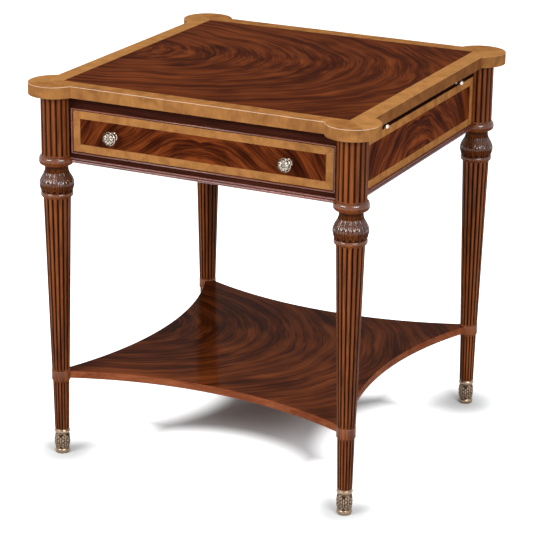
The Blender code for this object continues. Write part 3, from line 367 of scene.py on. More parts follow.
def turned(points, axis, steps):
    """A round solid: the points of half its section, joined and swept once round an axis."""
    shape = bmesh.new()
    points = [shape.verts.new(point) for point in points]
    line = [shape.edges.new(pair) for pair in zip(points, points[1:])]
    bmesh.ops.spin(shape, geom=points + line, axis=axis, cent=(0, 0, 0), angle=math.tau,
                   steps=steps, use_merge=True)
    bmesh.ops.remove_doubles(shape, verts=shape.verts, dist=1e-6)
    return shape


leg_points = [(radius, 0, height) for radius, height in leg_profile()]
turning = turned(leg_points, (0, 0, 1), reed_steps * reed_count)
hollow = turning.verts.layers.float.new("hollow")
shine = turning.verts.layers.float.new("shine")
for vert in turning.verts:
    radius = math.hypot(vert.co.x, vert.co.y)
    if radius < 0.001:
        continue
    angle = math.atan2(vert.co.y, vert.co.x)
    carved, vert[hollow], vert[shine] = carve_leg(radius, angle, vert.co.z)
    vert.co.x, vert.co.y = carved * math.cos(angle), carved * math.sin(angle)
bmesh.ops.recalc_face_normals(turning, faces=turning.faces)


def finish_piece(shape, name, material, body, stands_for, angle, shift=(0, 0, 0)):
    """Makes a finished shape into a piece that rides on its body and stands for its solids.

    Edges that turn by more than angle stay sharp, and large flat faces stay flat.
    """
    mesh = bpy.data.meshes.new(name)
    shape.to_mesh(mesh)
    mesh.transform(Matrix.Translation(shift))
    piece = bpy.data.objects.new(name, mesh)
    bpy.context.scene.collection.objects.link(piece)
    mesh.materials.append(material)
    mesh.shade_smooth()
    mesh.set_sharp_from_angle(angle=math.radians(angle))
    for face in mesh.polygons:
        small = abs(face.normal.z) < 0.9999 or face.area < 1e-5
        face.use_smooth = len(face.vertices) <= 8 and small
    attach(piece, body)
    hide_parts(*stands_for)


for corner, (side_x, side_y) in CORNERS.items():
    finish_piece(turning, "turned_leg_" + corner, reed_mahogany, "case",
                 ("leg_" + corner,), angle=70, shift=(side_x * leg_axis, side_y * leg_axis, 0))
turning.free()


# THE FOOT CAPS
# Four cast brass cups that the feet of the legs stand in: a rounded toe, a body with three rows of
# leaves in low relief and a swelled lip, gone brown in the hollows and rubbed bright where high.
def old_metal(name, bright, dark):
    """Old metal: rubbed bright where it is handled, and dark and dull in the hollows."""
    made, tree, shader = polished(name)
    cloud = noise(tree, put(tree, "TexCoord").outputs["Object"], 260.0, 4.0, 0.6)
    dull = reckon(tree, "MAXIMUM", mark(tree, "hollow"), refit(tree, cloud, 0.35, 0.75, 0.0, 0.35))
    bump = put(tree, "Bump", {"Height": cloud, "Distance": 0.0002, "Strength": 0.35}).outputs[0]
    colour = blend(tree, dull, tone(*bright), tone(*dark))
    rough = refit(tree, dull, 0.0, 1.0, 0.22, 0.55)
    feed(tree, shader, {"Base Color": colour, "Metallic": 1.0, "Roughness": rough, "Normal": bump})
    return made


foot_brass = old_metal("foot cap brass", (158, 134, 112), (34, 24, 18))
toe_top, cap_body_low, cap_body_high, cap_lip_low, cap_top = 0.0093, 0.0105, 0.0388, 0.0400, 0.0485
toe_groove, lip_groove, cup_radius, cup_floor, cap_cut = 0.0099, 0.0394, 0.0105, 0.003, 0.0011

# The rows of leaves on a cap, the hindmost first: offset in leaves, height of the stem and of the
# tip as shares of the body, and width
cap_leaves = 5
cap_rows = ((0.5, 0.42, 1.03, 0.95), (0.0, 0.12, 0.80, 0.98), (0.5, -0.12, 0.52, 0.95))


def swelling(low, high, radius, bulge, count, power=1.0):
    """Points up a swelled part of the cap, from the height low to the height high."""
    return [(radius + bulge * math.sin(math.pi * k / count) ** power,
             low + (high - low) * k / count) for k in range(count + 1)]


def cap_profile():
    """Radius and height of a foot cap, from the middle of its sole to the floor of its cup."""
    line = [(0.0, 0.0), (0.0112, 0.0)] + swelling(0.0006, toe_top, 0.0123, 0.0015, 14)
    line += [(0.0121, 0.0098), (0.0123, cap_body_low)]
    line += swelling(cap_body_low, cap_body_high, 0.0129, 0.0017, 64, 0.8)[1:-1]
    line += [(0.0126, cap_body_high), (0.0124, lip_groove), (0.0129, cap_lip_low)]
    line += swelling(cap_lip_low, cap_top - 0.0006, 0.0132, 0.0016, 10)[1:-1]
    cup = [(cup_radius, cap_top), (cup_radius, cup_floor), (0.0, cup_floor)]
    return line + [(0.0132, cap_top)] + cup


def cap_relief(angle, height):
    """Low relief on the cap, 0 in the ground to 1 on the leaves."""
    up = (height - cap_body_low) / (cap_body_high - cap_body_low)
    if not 0.02 < up < 0.98:
        return 1.0
    relief = 0.30
    for offset, stem, tip, wide in cap_rows:
        aside = off_middle(angle, cap_leaves, offset)
        rise = (up - stem) / (tip - stem)
        if not 0 < rise < 1:
            continue
        lobe = abs(math.sin(math.pi * (rise * 3.0 - aside * 1.3 + 0.2))) ** 0.6
        spread = wide * math.sin(math.pi * min(1.0, rise * 0.80 + 0.20)) ** 0.6
        inside = spread * (0.74 + 0.26 * lobe) - aside
        own = ease(inside, 0.0, 0.16) * (0.25 + 0.75 * max(lobe, near(aside, 0.0, 0.09)))
        own *= 1 - 0.7 * near(aside, 0.2, 0.07)
        relief += (own - relief) * ease(inside, -0.03, 0.0)
    return min(relief, 1.0)


cap = turned([(radius, 0, height) for radius, height in cap_profile()], (0, 0, 1), 120)
hollow = cap.verts.layers.float.new("hollow")
for vert in cap.verts:
    radius = math.hypot(vert.co.x, vert.co.y)
    if radius < 0.0111:
        vert[hollow] = 0.8
        continue
    angle = math.atan2(vert.co.y, vert.co.x)
    raised = cap_relief(angle, vert.co.z)
    groove = max(near(vert.co.z, toe_groove, 0.0007), near(vert.co.z, lip_groove, 0.0007))
    vert[hollow] = max(0.95 * ease(0.86 - raised, 0.0, 0.42), groove)
    carved = radius - cap_cut * (1 - raised)
    vert.co.x, vert.co.y = carved * math.cos(angle), carved * math.sin(angle)
bmesh.ops.recalc_face_normals(cap, faces=cap.faces)
for corner, (side_x, side_y) in CORNERS.items():
    finish_piece(cap, "brass_foot_cap_" + corner, foot_brass, "case",
                 ("foot_cap_" + corner,), angle=70, shift=(side_x * leg_axis, side_y * leg_axis, 0))
cap.free()


# THE FRAME
# Two rails at the front and an apron on each other side, all mahogany, scribed to the round legs
# and tenoned into them. The rails round the drawer are painted nearly black, as painted shade under
# the top and round the drawer.
def dress(material, *nodes):
    """Gives carried-over solids their finish."""
    for name in nodes:
        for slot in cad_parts[name].material_slots:
            slot.material = material


quarter = math.pi / 2
along_x, along_y = (0, quarter, 0), (quarter, 0, 0)
# Nearly black tones: painted shade on the rails under the top and round the drawer, also given to
# the veneered aprons.
painted_shade_tones = (72, 34, 23), (46, 19, 13), (18, 7, 5)
rail_mahogany = straight_wood("front rail mahogany", *painted_shade_tones, turn=along_x, coat=0.0)
apron_mahogany = straight_wood("apron mahogany", *painted_shade_tones, turn=along_y, coat=0.0)
back_mahogany = straight_wood("back apron mahogany", (128, 66, 40), (78, 36, 21), (30, 12, 7),
                              turn=along_x)
dress(rail_mahogany, "front_top_rail", "front_bottom_rail")
dress(apron_mahogany, "left_apron", "right_apron")
dress(back_mahogany, "back_apron")


# THE SIDE PANELS
# The two side aprons are veneered: a field of flame mahogany, cut from the fork of a tree, inside
# a mitred crossband of pale golden wood laid with its grain square to the edge.
def scale_by(tree, value, factor):
    """A place or a colour made larger or smaller in all three of its numbers."""
    return put(tree, "VectorMath", {0: value, "Scale": factor}, operation="SCALE").outputs[0]


def weigh(tree, *parts):
    """The sum of patterns, each given with its weight."""
    total = 0.0
    for pattern, weight in parts:
        total = reckon(tree, "MULTIPLY_ADD", pattern, weight, total)
    return total


# Flame figure: feathered arcs round a centre, mirrored on a seam where two leaves are book matched.
flame_figure, given, result = effect(
    "flame figure",
    (("Place", "v"), ("Reach", "f"), ("Streaks", "f"), ("Curl", "f"),
     ("Light", "c"), ("Middle", "c"), ("Dark", "c")),
    (("Color", "c"), ("Fibre", "f")))
tree = flame_figure
split = put(tree, "SeparateXYZ", {0: given["Place"]}).outputs
mirrored = reckon(tree, "ABSOLUTE", split["Y"])
leaf_place = put(tree, "CombineXYZ", {"X": split["X"], "Y": mirrored, "Z": split["Z"]}).outputs[0]
swirl = put(tree, "TexNoise", {"Vector": leaf_place, "Scale": 5.5, "Detail": 2.0}).outputs["Color"]
swirl = reckon_place(tree, "SUBTRACT", swirl, (0.5, 0.5, 0.5))
swirl = scale_by(tree, swirl, given["Curl"])
bent = put(tree, "SeparateXYZ", {0: reckon_place(tree, "ADD", leaf_place, swirl)}).outputs
far_y = reckon(tree, "DIVIDE", bent["Y"], given["Reach"])
square = reckon(tree, "MULTIPLY_ADD", far_y, far_y, reckon(tree, "MULTIPLY", bent["X"], bent["X"]))
ring_place = reckon(tree, "MULTIPLY", reckon(tree, "SQRT", square), given["Streaks"])
bearing = reckon(tree, "ARCTAN2", far_y, bent["X"])
sweep_place = put(tree, "CombineXYZ", {"X": ring_place, "Y": bearing, "Z": 0.0}).outputs[0]
wide = drawn_out_noise(tree, sweep_place, (0.55, 1.6, 1.0), 3.0, 0.55, 0.4)
narrow = drawn_out_noise(tree, sweep_place, (2.4, 3.0, 1.0), 4.0, 0.6, 0.3)
hairs = drawn_out_noise(tree, sweep_place, (11.0, 7.0, 1.0), 2.0)
glow = noise(tree, leaf_place, 9.0, 2.0)
mixed = weigh(tree, (wide, 0.42), (narrow, 0.30), (glow, 0.20), (hairs, 0.10))
colour = blend(tree, refit(tree, mixed, 0.41, 0.53), given["Dark"], given["Middle"])
colour = blend(tree, refit(tree, mixed, 0.50, 0.64), colour, given["Light"])
feed(tree, result, {"Color": colour, "Fibre": hairs})

# Crossband: short grain square to the edge, with a mitre where two strips meet at a corner. The
# strips at the two ends, as far along as End Reach, can take a share of another tone.
crossband, given, result = effect(
    "mitred crossband",
    (("Place", "v"), ("Half X", "f"), ("Half Y", "f"), ("Light", "c"), ("Dark", "c"),
     ("End Tone", "c"), ("End Share", "f"), ("End Reach", "f")),
    (("Color", "c"), ("Fibre", "f")))
tree = crossband
split = put(tree, "SeparateXYZ", {0: given["Place"]}).outputs
off_y = reckon(tree, "ABSOLUTE", split["Y"])
in_x = reckon(tree, "SUBTRACT", given["Half X"], reckon(tree, "ABSOLUTE", split["X"]))
in_y = reckon(tree, "SUBTRACT", given["Half Y"], off_y)
on_end = reckon(tree, "LESS_THAN", in_x, in_y)
off_mitre = reckon(tree, "ABSOLUTE", reckon(tree, "SUBTRACT", in_x, in_y))
crossed = put(tree, "CombineXYZ", {"X": split["Y"], "Y": split["X"], "Z": split["Z"]}).outputs[0]
run = put(tree, "Mix", {0: on_end, 4: given["Place"], 5: crossed}, data_type="VECTOR").outputs[1]
threads = drawn_out_noise(tree, run, (800.0, 70.0, 60.0), 3.0)
stripes = drawn_out_noise(tree, run, (150.0, 60.0, 60.0), 4.0, 0.5, 0.8)
patches = noise(tree, run, 38.0, 3.0, distortion=0.5)
mixed = weigh(tree, (threads, 0.16), (stripes, 0.20), (patches, 0.64))
colour = blend(tree, refit(tree, mixed, 0.36, 0.62), given["Dark"], given["Light"])
in_reach = reckon(tree, "LESS_THAN", off_y, given["End Reach"])
end_share = reckon(tree, "MULTIPLY", reckon(tree, "MULTIPLY", on_end, given["End Share"]), in_reach)
colour = blend(tree, end_share, colour, given["End Tone"])
mitre_line = refit(tree, off_mitre, 0.0001, 0.0006, 0.45, 0.0)
colour = blend(tree, mitre_line, colour, tone(70, 36, 18))
feed(tree, result, {"Color": colour, "Fibre": threads})


def flame_veneer(name, centre, turn, reach, streaks, curl, tones, sheen=1.02, low=0.14, high=0.24):
    """Polished flame veneer in a light, a middle and a dark tone.

    The arcs are struck from centre, on the seam. Across the seam they reach as far as reach for
    each 1 along it. low and high are the limits of the roughness.
    """
    made, tree, shader = polished(name, sheen=sheen)
    light, medium, dark = (tone(*each) for each in tones)
    figure = place_effect(tree, flame_figure, {
        "Place": place_on_piece(tree, turn, centre), "Reach": reach, "Streaks": streaks,
        "Curl": curl, "Light": light, "Middle": medium, "Dark": dark})
    gloss(tree, shader, figure["Color"], figure["Fibre"], 0.0001, low, high)
    return made


def crossband_veneer(name, centre, turn, half_x, half_y, light, dark, sheen=1.02,
                     end_tone=(0, 0, 0), end_share=0.0, end_reach=1.0):
    """Polished crossband. centre is the middle of the frame that the strips make.

    Where the piece marks itself with "shine", a pale painted highlight is laid on the wood, and its
    polish glints.
    """
    made, tree, shader = polished(name, sheen=sheen)
    band = place_effect(tree, crossband, {
        "Place": place_on_piece(tree, turn, centre), "Half X": half_x, "Half Y": half_y,
        "Light": tone(*light), "Dark": tone(*dark),
        "End Tone": tone(*end_tone), "End Share": end_share, "End Reach": end_reach})
    painted_highlight_and_gloss = mark(tree, "shine")
    # Painted highlight: a pale colour laid on the rounded arris.
    colour = blend(tree, painted_highlight_and_gloss, band["Color"], tone(230, 206, 184))
    gloss(tree, shader, colour, band["Fibre"], 0.0001, 0.24, 0.36)
    feed(tree, shader, {"Coat Weight": painted_highlight_and_gloss})
    return made


def middle(node):
    low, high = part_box(node)
    return tuple((a + b) / 2 for a, b in zip(low, high))


def half_size(node, axis):
    low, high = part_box(node)
    return (high[axis] - low[axis]) / 2


def below(node):
    """Where the arcs of an upright panel are struck from: on its seam, below its foot."""
    x, y, z = middle(node)
    return x, y, z - 0.15


# On a side face, X of the pattern runs up the panel and Y along it: the seam is at mid length.
side_turn = (0, quarter, 0)
for side in ("left", "right"):
    field, banding = side + "_panel_field", side + "_panel_banding"
    dress(flame_veneer(side + " flame veneer", below(field), side_turn, 1.0, 112.0, 0.07,
                       ((152, 76, 34), (98, 43, 20), (50, 20, 11))), field)
    dress(crossband_veneer(side + " crossband", middle(banding), side_turn, half_size(banding, 2),
                           half_size(banding, 1), (192, 130, 72), (154, 99, 53)), banding)


# THE MOULDINGS
# Four strips of mahogany, each worked with two beads on its face, cut to fit between two legs and
# glued along the foot of the frieze.
# The strips along the front and back are paler and pinker than those at the sides: painted light
# for the brighter front. The wood is the same.
moulding_mahogany = straight_wood("moulding mahogany x", (146, 82, 68), (100, 50, 40), (30, 11, 8),
                                  turn=along_x, coat=1.0)
moulding_mahogany_y = straight_wood("moulding mahogany y", (134, 72, 62), (92, 42, 36),
                                    (30, 11, 8), turn=along_y, coat=0.5)
frieze_foot, bead_groove, moulding_top = 0.5660, 0.5720, 0.5755
moulding_back, moulding_end = 0.2873, 0.2605


def moulding_section():
    """Points of the strip's section, off the frieze and up: a large bead under a small one."""
    line = [(0.0, frieze_foot), (0.0012, frieze_foot)]
    line += round_bead(frieze_foot, frieze_foot + 0.0058, 0.0012, 0.0027, 10)[1:-1]
    line += [(0.0010, bead_groove)]
    line += round_bead(bead_groove, bead_groove + 0.0033, 0.0010, 0.0018, 8)[1:-1]
    return line + [(0.0008, moulding_top), (0.0, moulding_top)]


def thicken(shape, faces, way):
    """Pulls faces out into a solid, the way and the distance given."""
    pulled = bmesh.ops.extrude_face_region(shape, geom=faces, use_keep_orig=True)["geom"]
    far_verts = [v for v in pulled if isinstance(v, bmesh.types.BMVert)]
    bmesh.ops.translate(shape, verts=far_verts, vec=way)
    bmesh.ops.recalc_face_normals(shape, faces=shape.faces)


for side, turn, material in (("front", 0.0, moulding_mahogany),
                             ("right", quarter, moulding_mahogany_y),
                             ("left", -quarter, moulding_mahogany_y),
                             ("back", math.pi, moulding_mahogany)):
    strip = bmesh.new()
    end_face = strip.faces.new([strip.verts.new((-moulding_end, -moulding_back - out, height))
                                for out, height in moulding_section()])
    thicken(strip, [end_face], (2 * moulding_end, 0, 0))
    bmesh.ops.rotate(strip, verts=strip.verts, cent=(0, 0, 0), matrix=Matrix.Rotation(turn, 3, "Z"))
    finish_piece(strip, side + "_beaded_moulding", material, "case",
                 (side + "_moulding",), angle=50)
    strip.free()


# THE DRAWER
# An oak box behind a front of flame veneer in a golden crossband. A small rounded bead stands out
# round its edges, and two cast knobs are screwed on from behind.
oak_tones = (190, 150, 100), (150, 110, 66), (90, 60, 34)
oak = straight_wood("oak along the drawer", *oak_tones, turn=along_y, streaks=90.0, coat=0.15)
oak_across = straight_wood("oak across the drawer", *oak_tones, turn=along_x, streaks=90.0,
                           coat=0.15)
dress(oak, "drawer_side_left", "drawer_side_right", "drawer_runner_left", "drawer_runner_right",
      "drawer_stop_left", "drawer_stop_right")
dress(oak_across, "drawer_back", "drawer_bottom", "slide_runner_front", "slide_runner_back",
      "slide_kicker_front", "slide_kicker_back", "slide_stop_rail", "slide_stop_block")
dress(rail_mahogany, "drawer_front")
dress(flame_veneer("drawer flame veneer", below("drawer_field"), (quarter, 0, quarter), 1.0,
                   120.0, 0.06, ((140, 70, 30), (90, 39, 17), (46, 17, 8))), "drawer_field")
dress(crossband_veneer("drawer crossband", middle("drawer_banding"), (quarter, 0, 0),
                       half_size("drawer_banding", 0), half_size("drawer_banding", 2),
                       (182, 126, 72), (148, 97, 54)), "drawer_banding")


def lies_on(edge, axis, place):
    """True for an edge with both ends at a place along an axis."""
    return all(abs(v.co[axis] - place) < 1e-6 for v in edge.verts)


def square_to(edge, axis):
    """True for an edge whose ends are at the same place along an axis."""
    return lies_on(edge, axis, edge.verts[0].co[axis])


def round_over(shape, edges, radius, steps):
    """Rounds sharp edges, and gives what the rounding made."""
    return bmesh.ops.bevel(shape, geom=edges, offset=radius, offset_type="OFFSET", segments=steps,
                           profile=0.5, affect="EDGES", material=-1)


# The bead is glossy on its rounded nose only.
bead_mahogany = straight_wood("cockbead mahogany", (150, 82, 56), (102, 48, 32), (24, 9, 6),
                              turn=along_x, coat=None)
(bead_left, bead_front, bead_foot), (bead_right, bead_back, bead_top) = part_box("drawer_cockbeads")
bead_thick, nose_radius, nose_depth = 0.004, 0.0019, 0.0015
bead = bmesh.new()
shine = bead.verts.layers.float.new("shine")
front_face = bead.faces.new([bead.verts.new((x, bead_front, z)) for x, z in (
    (bead_left, bead_foot), (bead_right, bead_foot),
    (bead_right, bead_top), (bead_left, bead_top))])
front_face.normal_update()
bmesh.ops.inset_individual(bead, faces=[front_face], thickness=bead_thick)
bmesh.ops.delete(bead, geom=[front_face], context="FACES_ONLY")
thicken(bead, list(bead.faces), (0, bead_back - bead_front, 0))
noses = [e for e in bead.edges
         if lies_on(e, 1, bead_front) and (square_to(e, 0) or square_to(e, 2))]
round_over(bead, noses, nose_radius, 5)
for vert in bead.verts:
    vert[shine] = 0.75 if vert.co.y < bead_front + nose_depth else 0.06
finish_piece(bead, "drawer_cockbead_frame", bead_mahogany, "drawer",
             ("drawer_cockbeads",), angle=60)
bead.free()

# A knob: a short stem, a rim, and a low dome with a flower cast on it
knob_brass = old_metal("knob brass", (182, 170, 156), (40, 32, 26))
stem_radius, waist_radius, dome_radius, dome_span = 0.0075, 0.0055, 0.0118, 0.0124
rim_back, rim_front, dome_height, knob_length = 0.0150, 0.0188, 0.0034, 0.0232
petal_count, flower_radius, flower_cut = 8, 0.0112, 0.0010


def knob_profile():
    """Radius and distance from the drawer's face of a cast knob, from its base to its middle."""
    line = [(0.0, 0.0), (stem_radius, 0.0)]
    line += quarter_round((stem_radius, 0.0010), (waist_radius, 0.0030), 6)
    line += [(waist_radius, 0.0060), (0.0053, 0.0085), (0.0056, 0.0105), (0.0068, 0.0122),
             (0.0092, 0.0136), (0.0114, 0.0146)]
    line += round_bead(rim_back, rim_front, dome_radius, 0.0010, 8)
    for k in range(1, 24):
        radius = dome_radius * (1 - k / 24)
        line.append((radius, rim_front + dome_height * math.sqrt(1 - (radius / dome_span) ** 2)))
    return line + [(0.0, rim_front + dome_height)]


def flower(radius, angle):
    """Relief of a cast flower on a knob: petals round a beaded boss, inside a plain rim."""
    if radius > flower_radius:
        return 1.0
    boss = ease(0.0030 - radius, 0.0, 0.0005)
    aside = off_middle(angle, petal_count)
    reach = 0.0100 - 0.0022 * aside ** 2
    petal = ease(radius, 0.0034, 0.0040) * ease(reach - radius, 0.0, 0.0009)
    petal *= ease(0.94 - aside, 0.0, 0.22)
    vein = 1 - 0.5 * near(aside, 0.0, 0.16) * ease(radius, 0.0042, 0.0056)
    between = ease(math.cos(angle * petal_count + math.pi), 0.5, 0.95)
    between *= ease(radius, 0.0086, 0.0093) * ease(0.0110 - radius, 0.0, 0.0008)
    return max(boss * (0.75 + 0.25 * math.cos(angle * 6)), petal * vein, 0.9 * between)


knob = turned([(radius, -out, 0) for radius, out in knob_profile()], (0, 1, 0), 96)
hollow = knob.verts.layers.float.new("hollow")
for vert in knob.verts:
    if vert.co.y < 0.0002 - rim_front:
        raised = flower(math.hypot(vert.co.x, vert.co.z), math.atan2(vert.co.z, vert.co.x))
        vert.co.y += flower_cut * (1 - raised)
        vert[hollow] = 0.95 * ease(0.88 - raised, 0.0, 0.5)
bmesh.ops.recalc_face_normals(knob, faces=knob.faces)
for name in ("left", "right"):
    knob_x, _, knob_z = middle("drawer_knob_" + name)
    knob_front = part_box("drawer_knob_" + name)[0][1]
    finish_piece(knob, "cast_drawer_knob_" + name, knob_brass, "drawer",
                 ("drawer_knob_" + name,), angle=60,
                 shift=(knob_x, knob_front + knob_length, knob_z))
knob.free()
steel = old_metal("screw steel", (170, 170, 168), (90, 88, 84))
dress(steel, "drawer_knob_screw_left", "drawer_knob_screw_right",
      *("top_screw_" + corner for corner in CORNERS))


# THE BRUSHING SLIDE
# A thin mahogany board that draws out of the right side under the top, by two small brass knobs on
# the dark lipping at its end.
slide_mahogany = straight_wood("slide mahogany", (128, 66, 40), (84, 40, 24), (30, 12, 7),
                               turn=along_y)
# The lipping is painted nearly black: painted shade, for its place in the slot under the top.
lipping_mahogany = straight_wood("slide lipping mahogany", (40, 18, 16), (22, 9, 8), (10, 4, 4),
                                 turn=along_y, coat=0.0, sheen=1.0)
dress(slide_mahogany, "slide_board")
lip_low, lip_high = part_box("slide_lipping")
lip_face = lip_high[0]
lip = bmesh.new()
bmesh.ops.create_cube(lip, size=1.0)
bmesh.ops.scale(lip, verts=lip.verts, vec=[b - a for a, b in zip(lip_low, lip_high)])
bmesh.ops.translate(lip, verts=lip.verts, vec=middle("slide_lipping"))
round_over(lip, [e for e in lip.edges if lies_on(e, 0, lip_face)], 0.0022, 4)
finish_piece(lip, "slide_lipping_strip", lipping_mahogany, "slide",
             ("slide_lipping",), angle=60)
lip.free()

# A small knob: a ball on a waisted stem, drawn from the lipping outwards
slide_brass = old_metal("slide knob brass", (208, 198, 188), (110, 98, 86))
ball_radius, ball_out = 0.0049, 0.0094
line = [(0.0, 0.0), (0.0034, 0.0), (0.0034, 0.0008), (0.0022, 0.0016), (0.0019, 0.0030),
        (0.0022, 0.0042)]
line += [(ball_radius * math.sin(turn), ball_out - ball_radius * math.cos(turn))
         for turn in (math.pi * k / 18 for k in range(3, 18))]
line += [(0.0, ball_out + ball_radius)]
small_knob = turned([(out, radius, 0) for radius, out in line], (1, 0, 0), 40)
bmesh.ops.recalc_face_normals(small_knob, faces=small_knob.faces)
for name in ("front", "back"):
    _, knob_y, knob_z = middle("slide_knob_" + name)
    finish_piece(small_knob, "slide_pull_" + name, slide_brass, "slide",
                 ("slide_knob_" + name,), angle=60, shift=(lip_face, knob_y, knob_z))
small_knob.free()


# THE SHELF
# One board with hollow sides, its four points let into the collars of the legs with a pin each.
# Its veneer is painted lighter towards the front, as painted light where the lamps reach in under
# the top, and its edges show straight grain.
def four_sided(shape, side):
    """A flat face whose outline repeats the points of one side on all four."""
    return shape.faces.new([shape.verts.new(Matrix.Rotation(quarter * k, 3, "Z") @ point)
                            for k in range(4) for point in side])


shelf_flame = flame_veneer("shelf flame veneer", (-0.42, 0.0, 0.0), (0, 0, 0), 0.62, 92.0, 0.045,
                           ((138, 72, 34), (94, 45, 21), (60, 26, 12)), 1.038, 0.02, 0.04)
shelf_low, shelf_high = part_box("shelf")[0][2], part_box("shelf")[1][2]

# Each hollow side is an arc through its own middle and the tips on the two diagonals, cut off short
# of them inside the legs.
side_middle, side_tip, side_end = leg_axis - 0.0587, leg_axis + 0.0095, leg_axis - 0.006
side_steps = 40
hollow_radius = (side_tip ** 2 + (side_tip - side_middle) ** 2) / (2 * (side_tip - side_middle))
hollow_centre = side_middle + hollow_radius
last_angle = math.asin(side_end / hollow_radius)
side = []
for step in range(side_steps + 1):
    angle = last_angle * (2 * step / side_steps - 1)
    side.append(Vector((hollow_radius * math.sin(angle),
                        hollow_radius * math.cos(angle) - hollow_centre, shelf_low)))
board = bmesh.new()
thicken(board, [four_sided(board, side)], (0, 0, shelf_high - shelf_low))
round_over(board, [e for e in board.edges if square_to(e, 2)], 0.0012, 3)
edge_mark = board.verts.layers.float.new("edge")
for vert in board.verts:
    vert[edge_mark] = 1.0 if shelf_low + 0.0001 < vert.co.z < shelf_high - 0.0001 else 0.0
tree = shelf_flame.node_tree
shader = tree.nodes["Principled BSDF"]
flame_colour = shader.inputs["Base Color"].links[0].from_socket
edge_wood = place_effect(tree, straight_grain, {
    "Place": place_on_piece(tree, along_x), "Light": tone(164, 94, 60), "Dark": tone(116, 58, 36),
    "Streaks": 120.0, "Length": 12.0})
from_front = put(tree, "SeparateXYZ", {0: put(tree, "TexCoord").outputs["Object"]}).outputs["Y"]
# Painted light: the veneer is made up to 1.65 times as light towards the front edge.
painted_front_light = refit(tree, from_front, 0.02, -0.26, 0.95, 1.65)
flame_colour = scale_by(tree, flame_colour, painted_front_light)
both = blend(tree, mark(tree, "edge"), flame_colour, edge_wood["Color"])
feed(tree, shader, {"Base Color": both})
finish_piece(board, "hollow_sided_shelf", shelf_flame, "case", ("shelf",), angle=50)
board.free()


# THE TOP
# Two book-matched leaves of flame mahogany in a golden crossband that runs out over a round ear at
# each corner, with a strip of the same wood round the edge.
straight_edge, ear_radius, top_low, top_high = 0.309, 0.04797, 0.690, 0.711
ring_width, arris_radius, ear_steps = 0.0022, 0.0009, 56
middle_of_top, no_turn = (0, 0, 0), (0, 0, 0)
top_flame = flame_veneer("top flame veneer", (-0.36, 0.0, 0.0), no_turn, 0.58, 84.0, 0.06,
                         ((124, 62, 28), (88, 40, 19), (54, 22, 11)), 1.01)
dress(top_flame, "top_field_front", "top_field_back")
top_band = crossband_veneer("top crossband", middle_of_top, no_turn, straight_edge, straight_edge,
                            (176, 120, 66), (142, 92, 48), 1.01, (218, 162, 96), 0.20)
# The strips on the left and right sides take a share of dark brown: painted shade, for the weaker
# light on those faces.
edge_strips = crossband_veneer("edge strips", middle_of_top, no_turn, straight_edge, straight_edge,
                               (174, 120, 68), (138, 90, 50), 1.02, (104, 50, 20), 0.45, 0.2453)
veneer_foot, field_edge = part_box("top_field_front")[0][2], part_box("top_field_front")[1][0]

# An ear runs round the leg's axis from one straight edge to the next.
reach = math.sqrt(ear_radius ** 2 - (straight_edge - leg_axis) ** 2)
start = math.atan2(leg_axis - straight_edge, -reach)
sweep = 2 * (-math.pi / 4 - start)
for name, material, low, high, stands_for in (
        ("top_edge_strips", edge_strips, top_low, veneer_foot, ("top_edging",)),
        ("top_crossband_frame", top_band, veneer_foot, top_high,
         ("top_band_front", "top_band_right", "top_band_back", "top_band_left"))):
    ear = []
    for step in range(ear_steps + 1):
        angle = start + sweep * step / ear_steps
        ear.append(Vector((leg_axis + ear_radius * math.cos(angle),
                           -leg_axis + ear_radius * math.sin(angle), low)))
    ring = bmesh.new()
    shine = ring.verts.layers.float.new("shine")
    thicken(ring, [four_sided(ring, ear)], (0, 0, high - low))
    arris = [e for e in ring.edges if min(v.co.z for v in e.verts) > top_high - 1e-6]
    # Both flat faces are cut open, and the ring that is left is joined again on its inner side. The
    # crossband reaches in as far as the field.
    flats = [f for f in ring.faces if abs(f.normal.z) > 0.9]
    bmesh.ops.inset_individual(ring, faces=flats, thickness=ring_width)
    inner = {v for f in flats for v in f.verts}
    bmesh.ops.delete(ring, geom=flats, context="FACES")
    if arris:
        for vert in inner:
            vert.co.x = min(max(vert.co.x, -field_edge), field_edge)
            vert.co.y = min(max(vert.co.y, -field_edge), field_edge)
        bmesh.ops.remove_doubles(ring, verts=list(inner), dist=1e-6)
    bmesh.ops.bridge_loops(ring, edges=[e for e in ring.edges if e.is_boundary])
    bmesh.ops.recalc_face_normals(ring, faces=ring.faces)
    if arris:
        # The rounded upper edge takes a pale painted highlight and a glossy coat, most along the
        # front.
        rounded = round_over(ring, arris, arris_radius, 4)
        round_low = min(v.co.z for v in rounded["verts"])
        for vert in ring.verts:
            painted_highlight_and_gloss = 0.08 + 0.56 * ease(-vert.co.y, 0.285, straight_edge)
            vert[shine] = painted_highlight_and_gloss if round_low + 1e-5 < vert.co.z < top_high - 1e-5 else 0.0
    finish_piece(ring, name, material, "case", stands_for, angle=35)
    ring.free()
dress(back_mahogany, "top_board")


# THE ROOM
# A white paper floor under three large soft lamps: one overhead, one at the right and one in front
# at the left. The camera has a long lens, stands a little above the table and sees it as the
# photograph does.
def looked_at(tree):
    """1 for what is seen, straight, mirrored or through glass, and 0 for what only gives light."""
    rays = put(tree, "LightPath").outputs
    seen = reckon(tree, "MAXIMUM", rays["Is Camera Ray"], rays["Is Glossy Ray"])
    return reckon(tree, "MAXIMUM", seen, rays["Is Transmission Ray"])


def distance(tree, place, other):
    """How far two places are apart."""
    return put(tree, "VectorMath", {0: place, 1: other}, operation="DISTANCE").outputs["Value"]


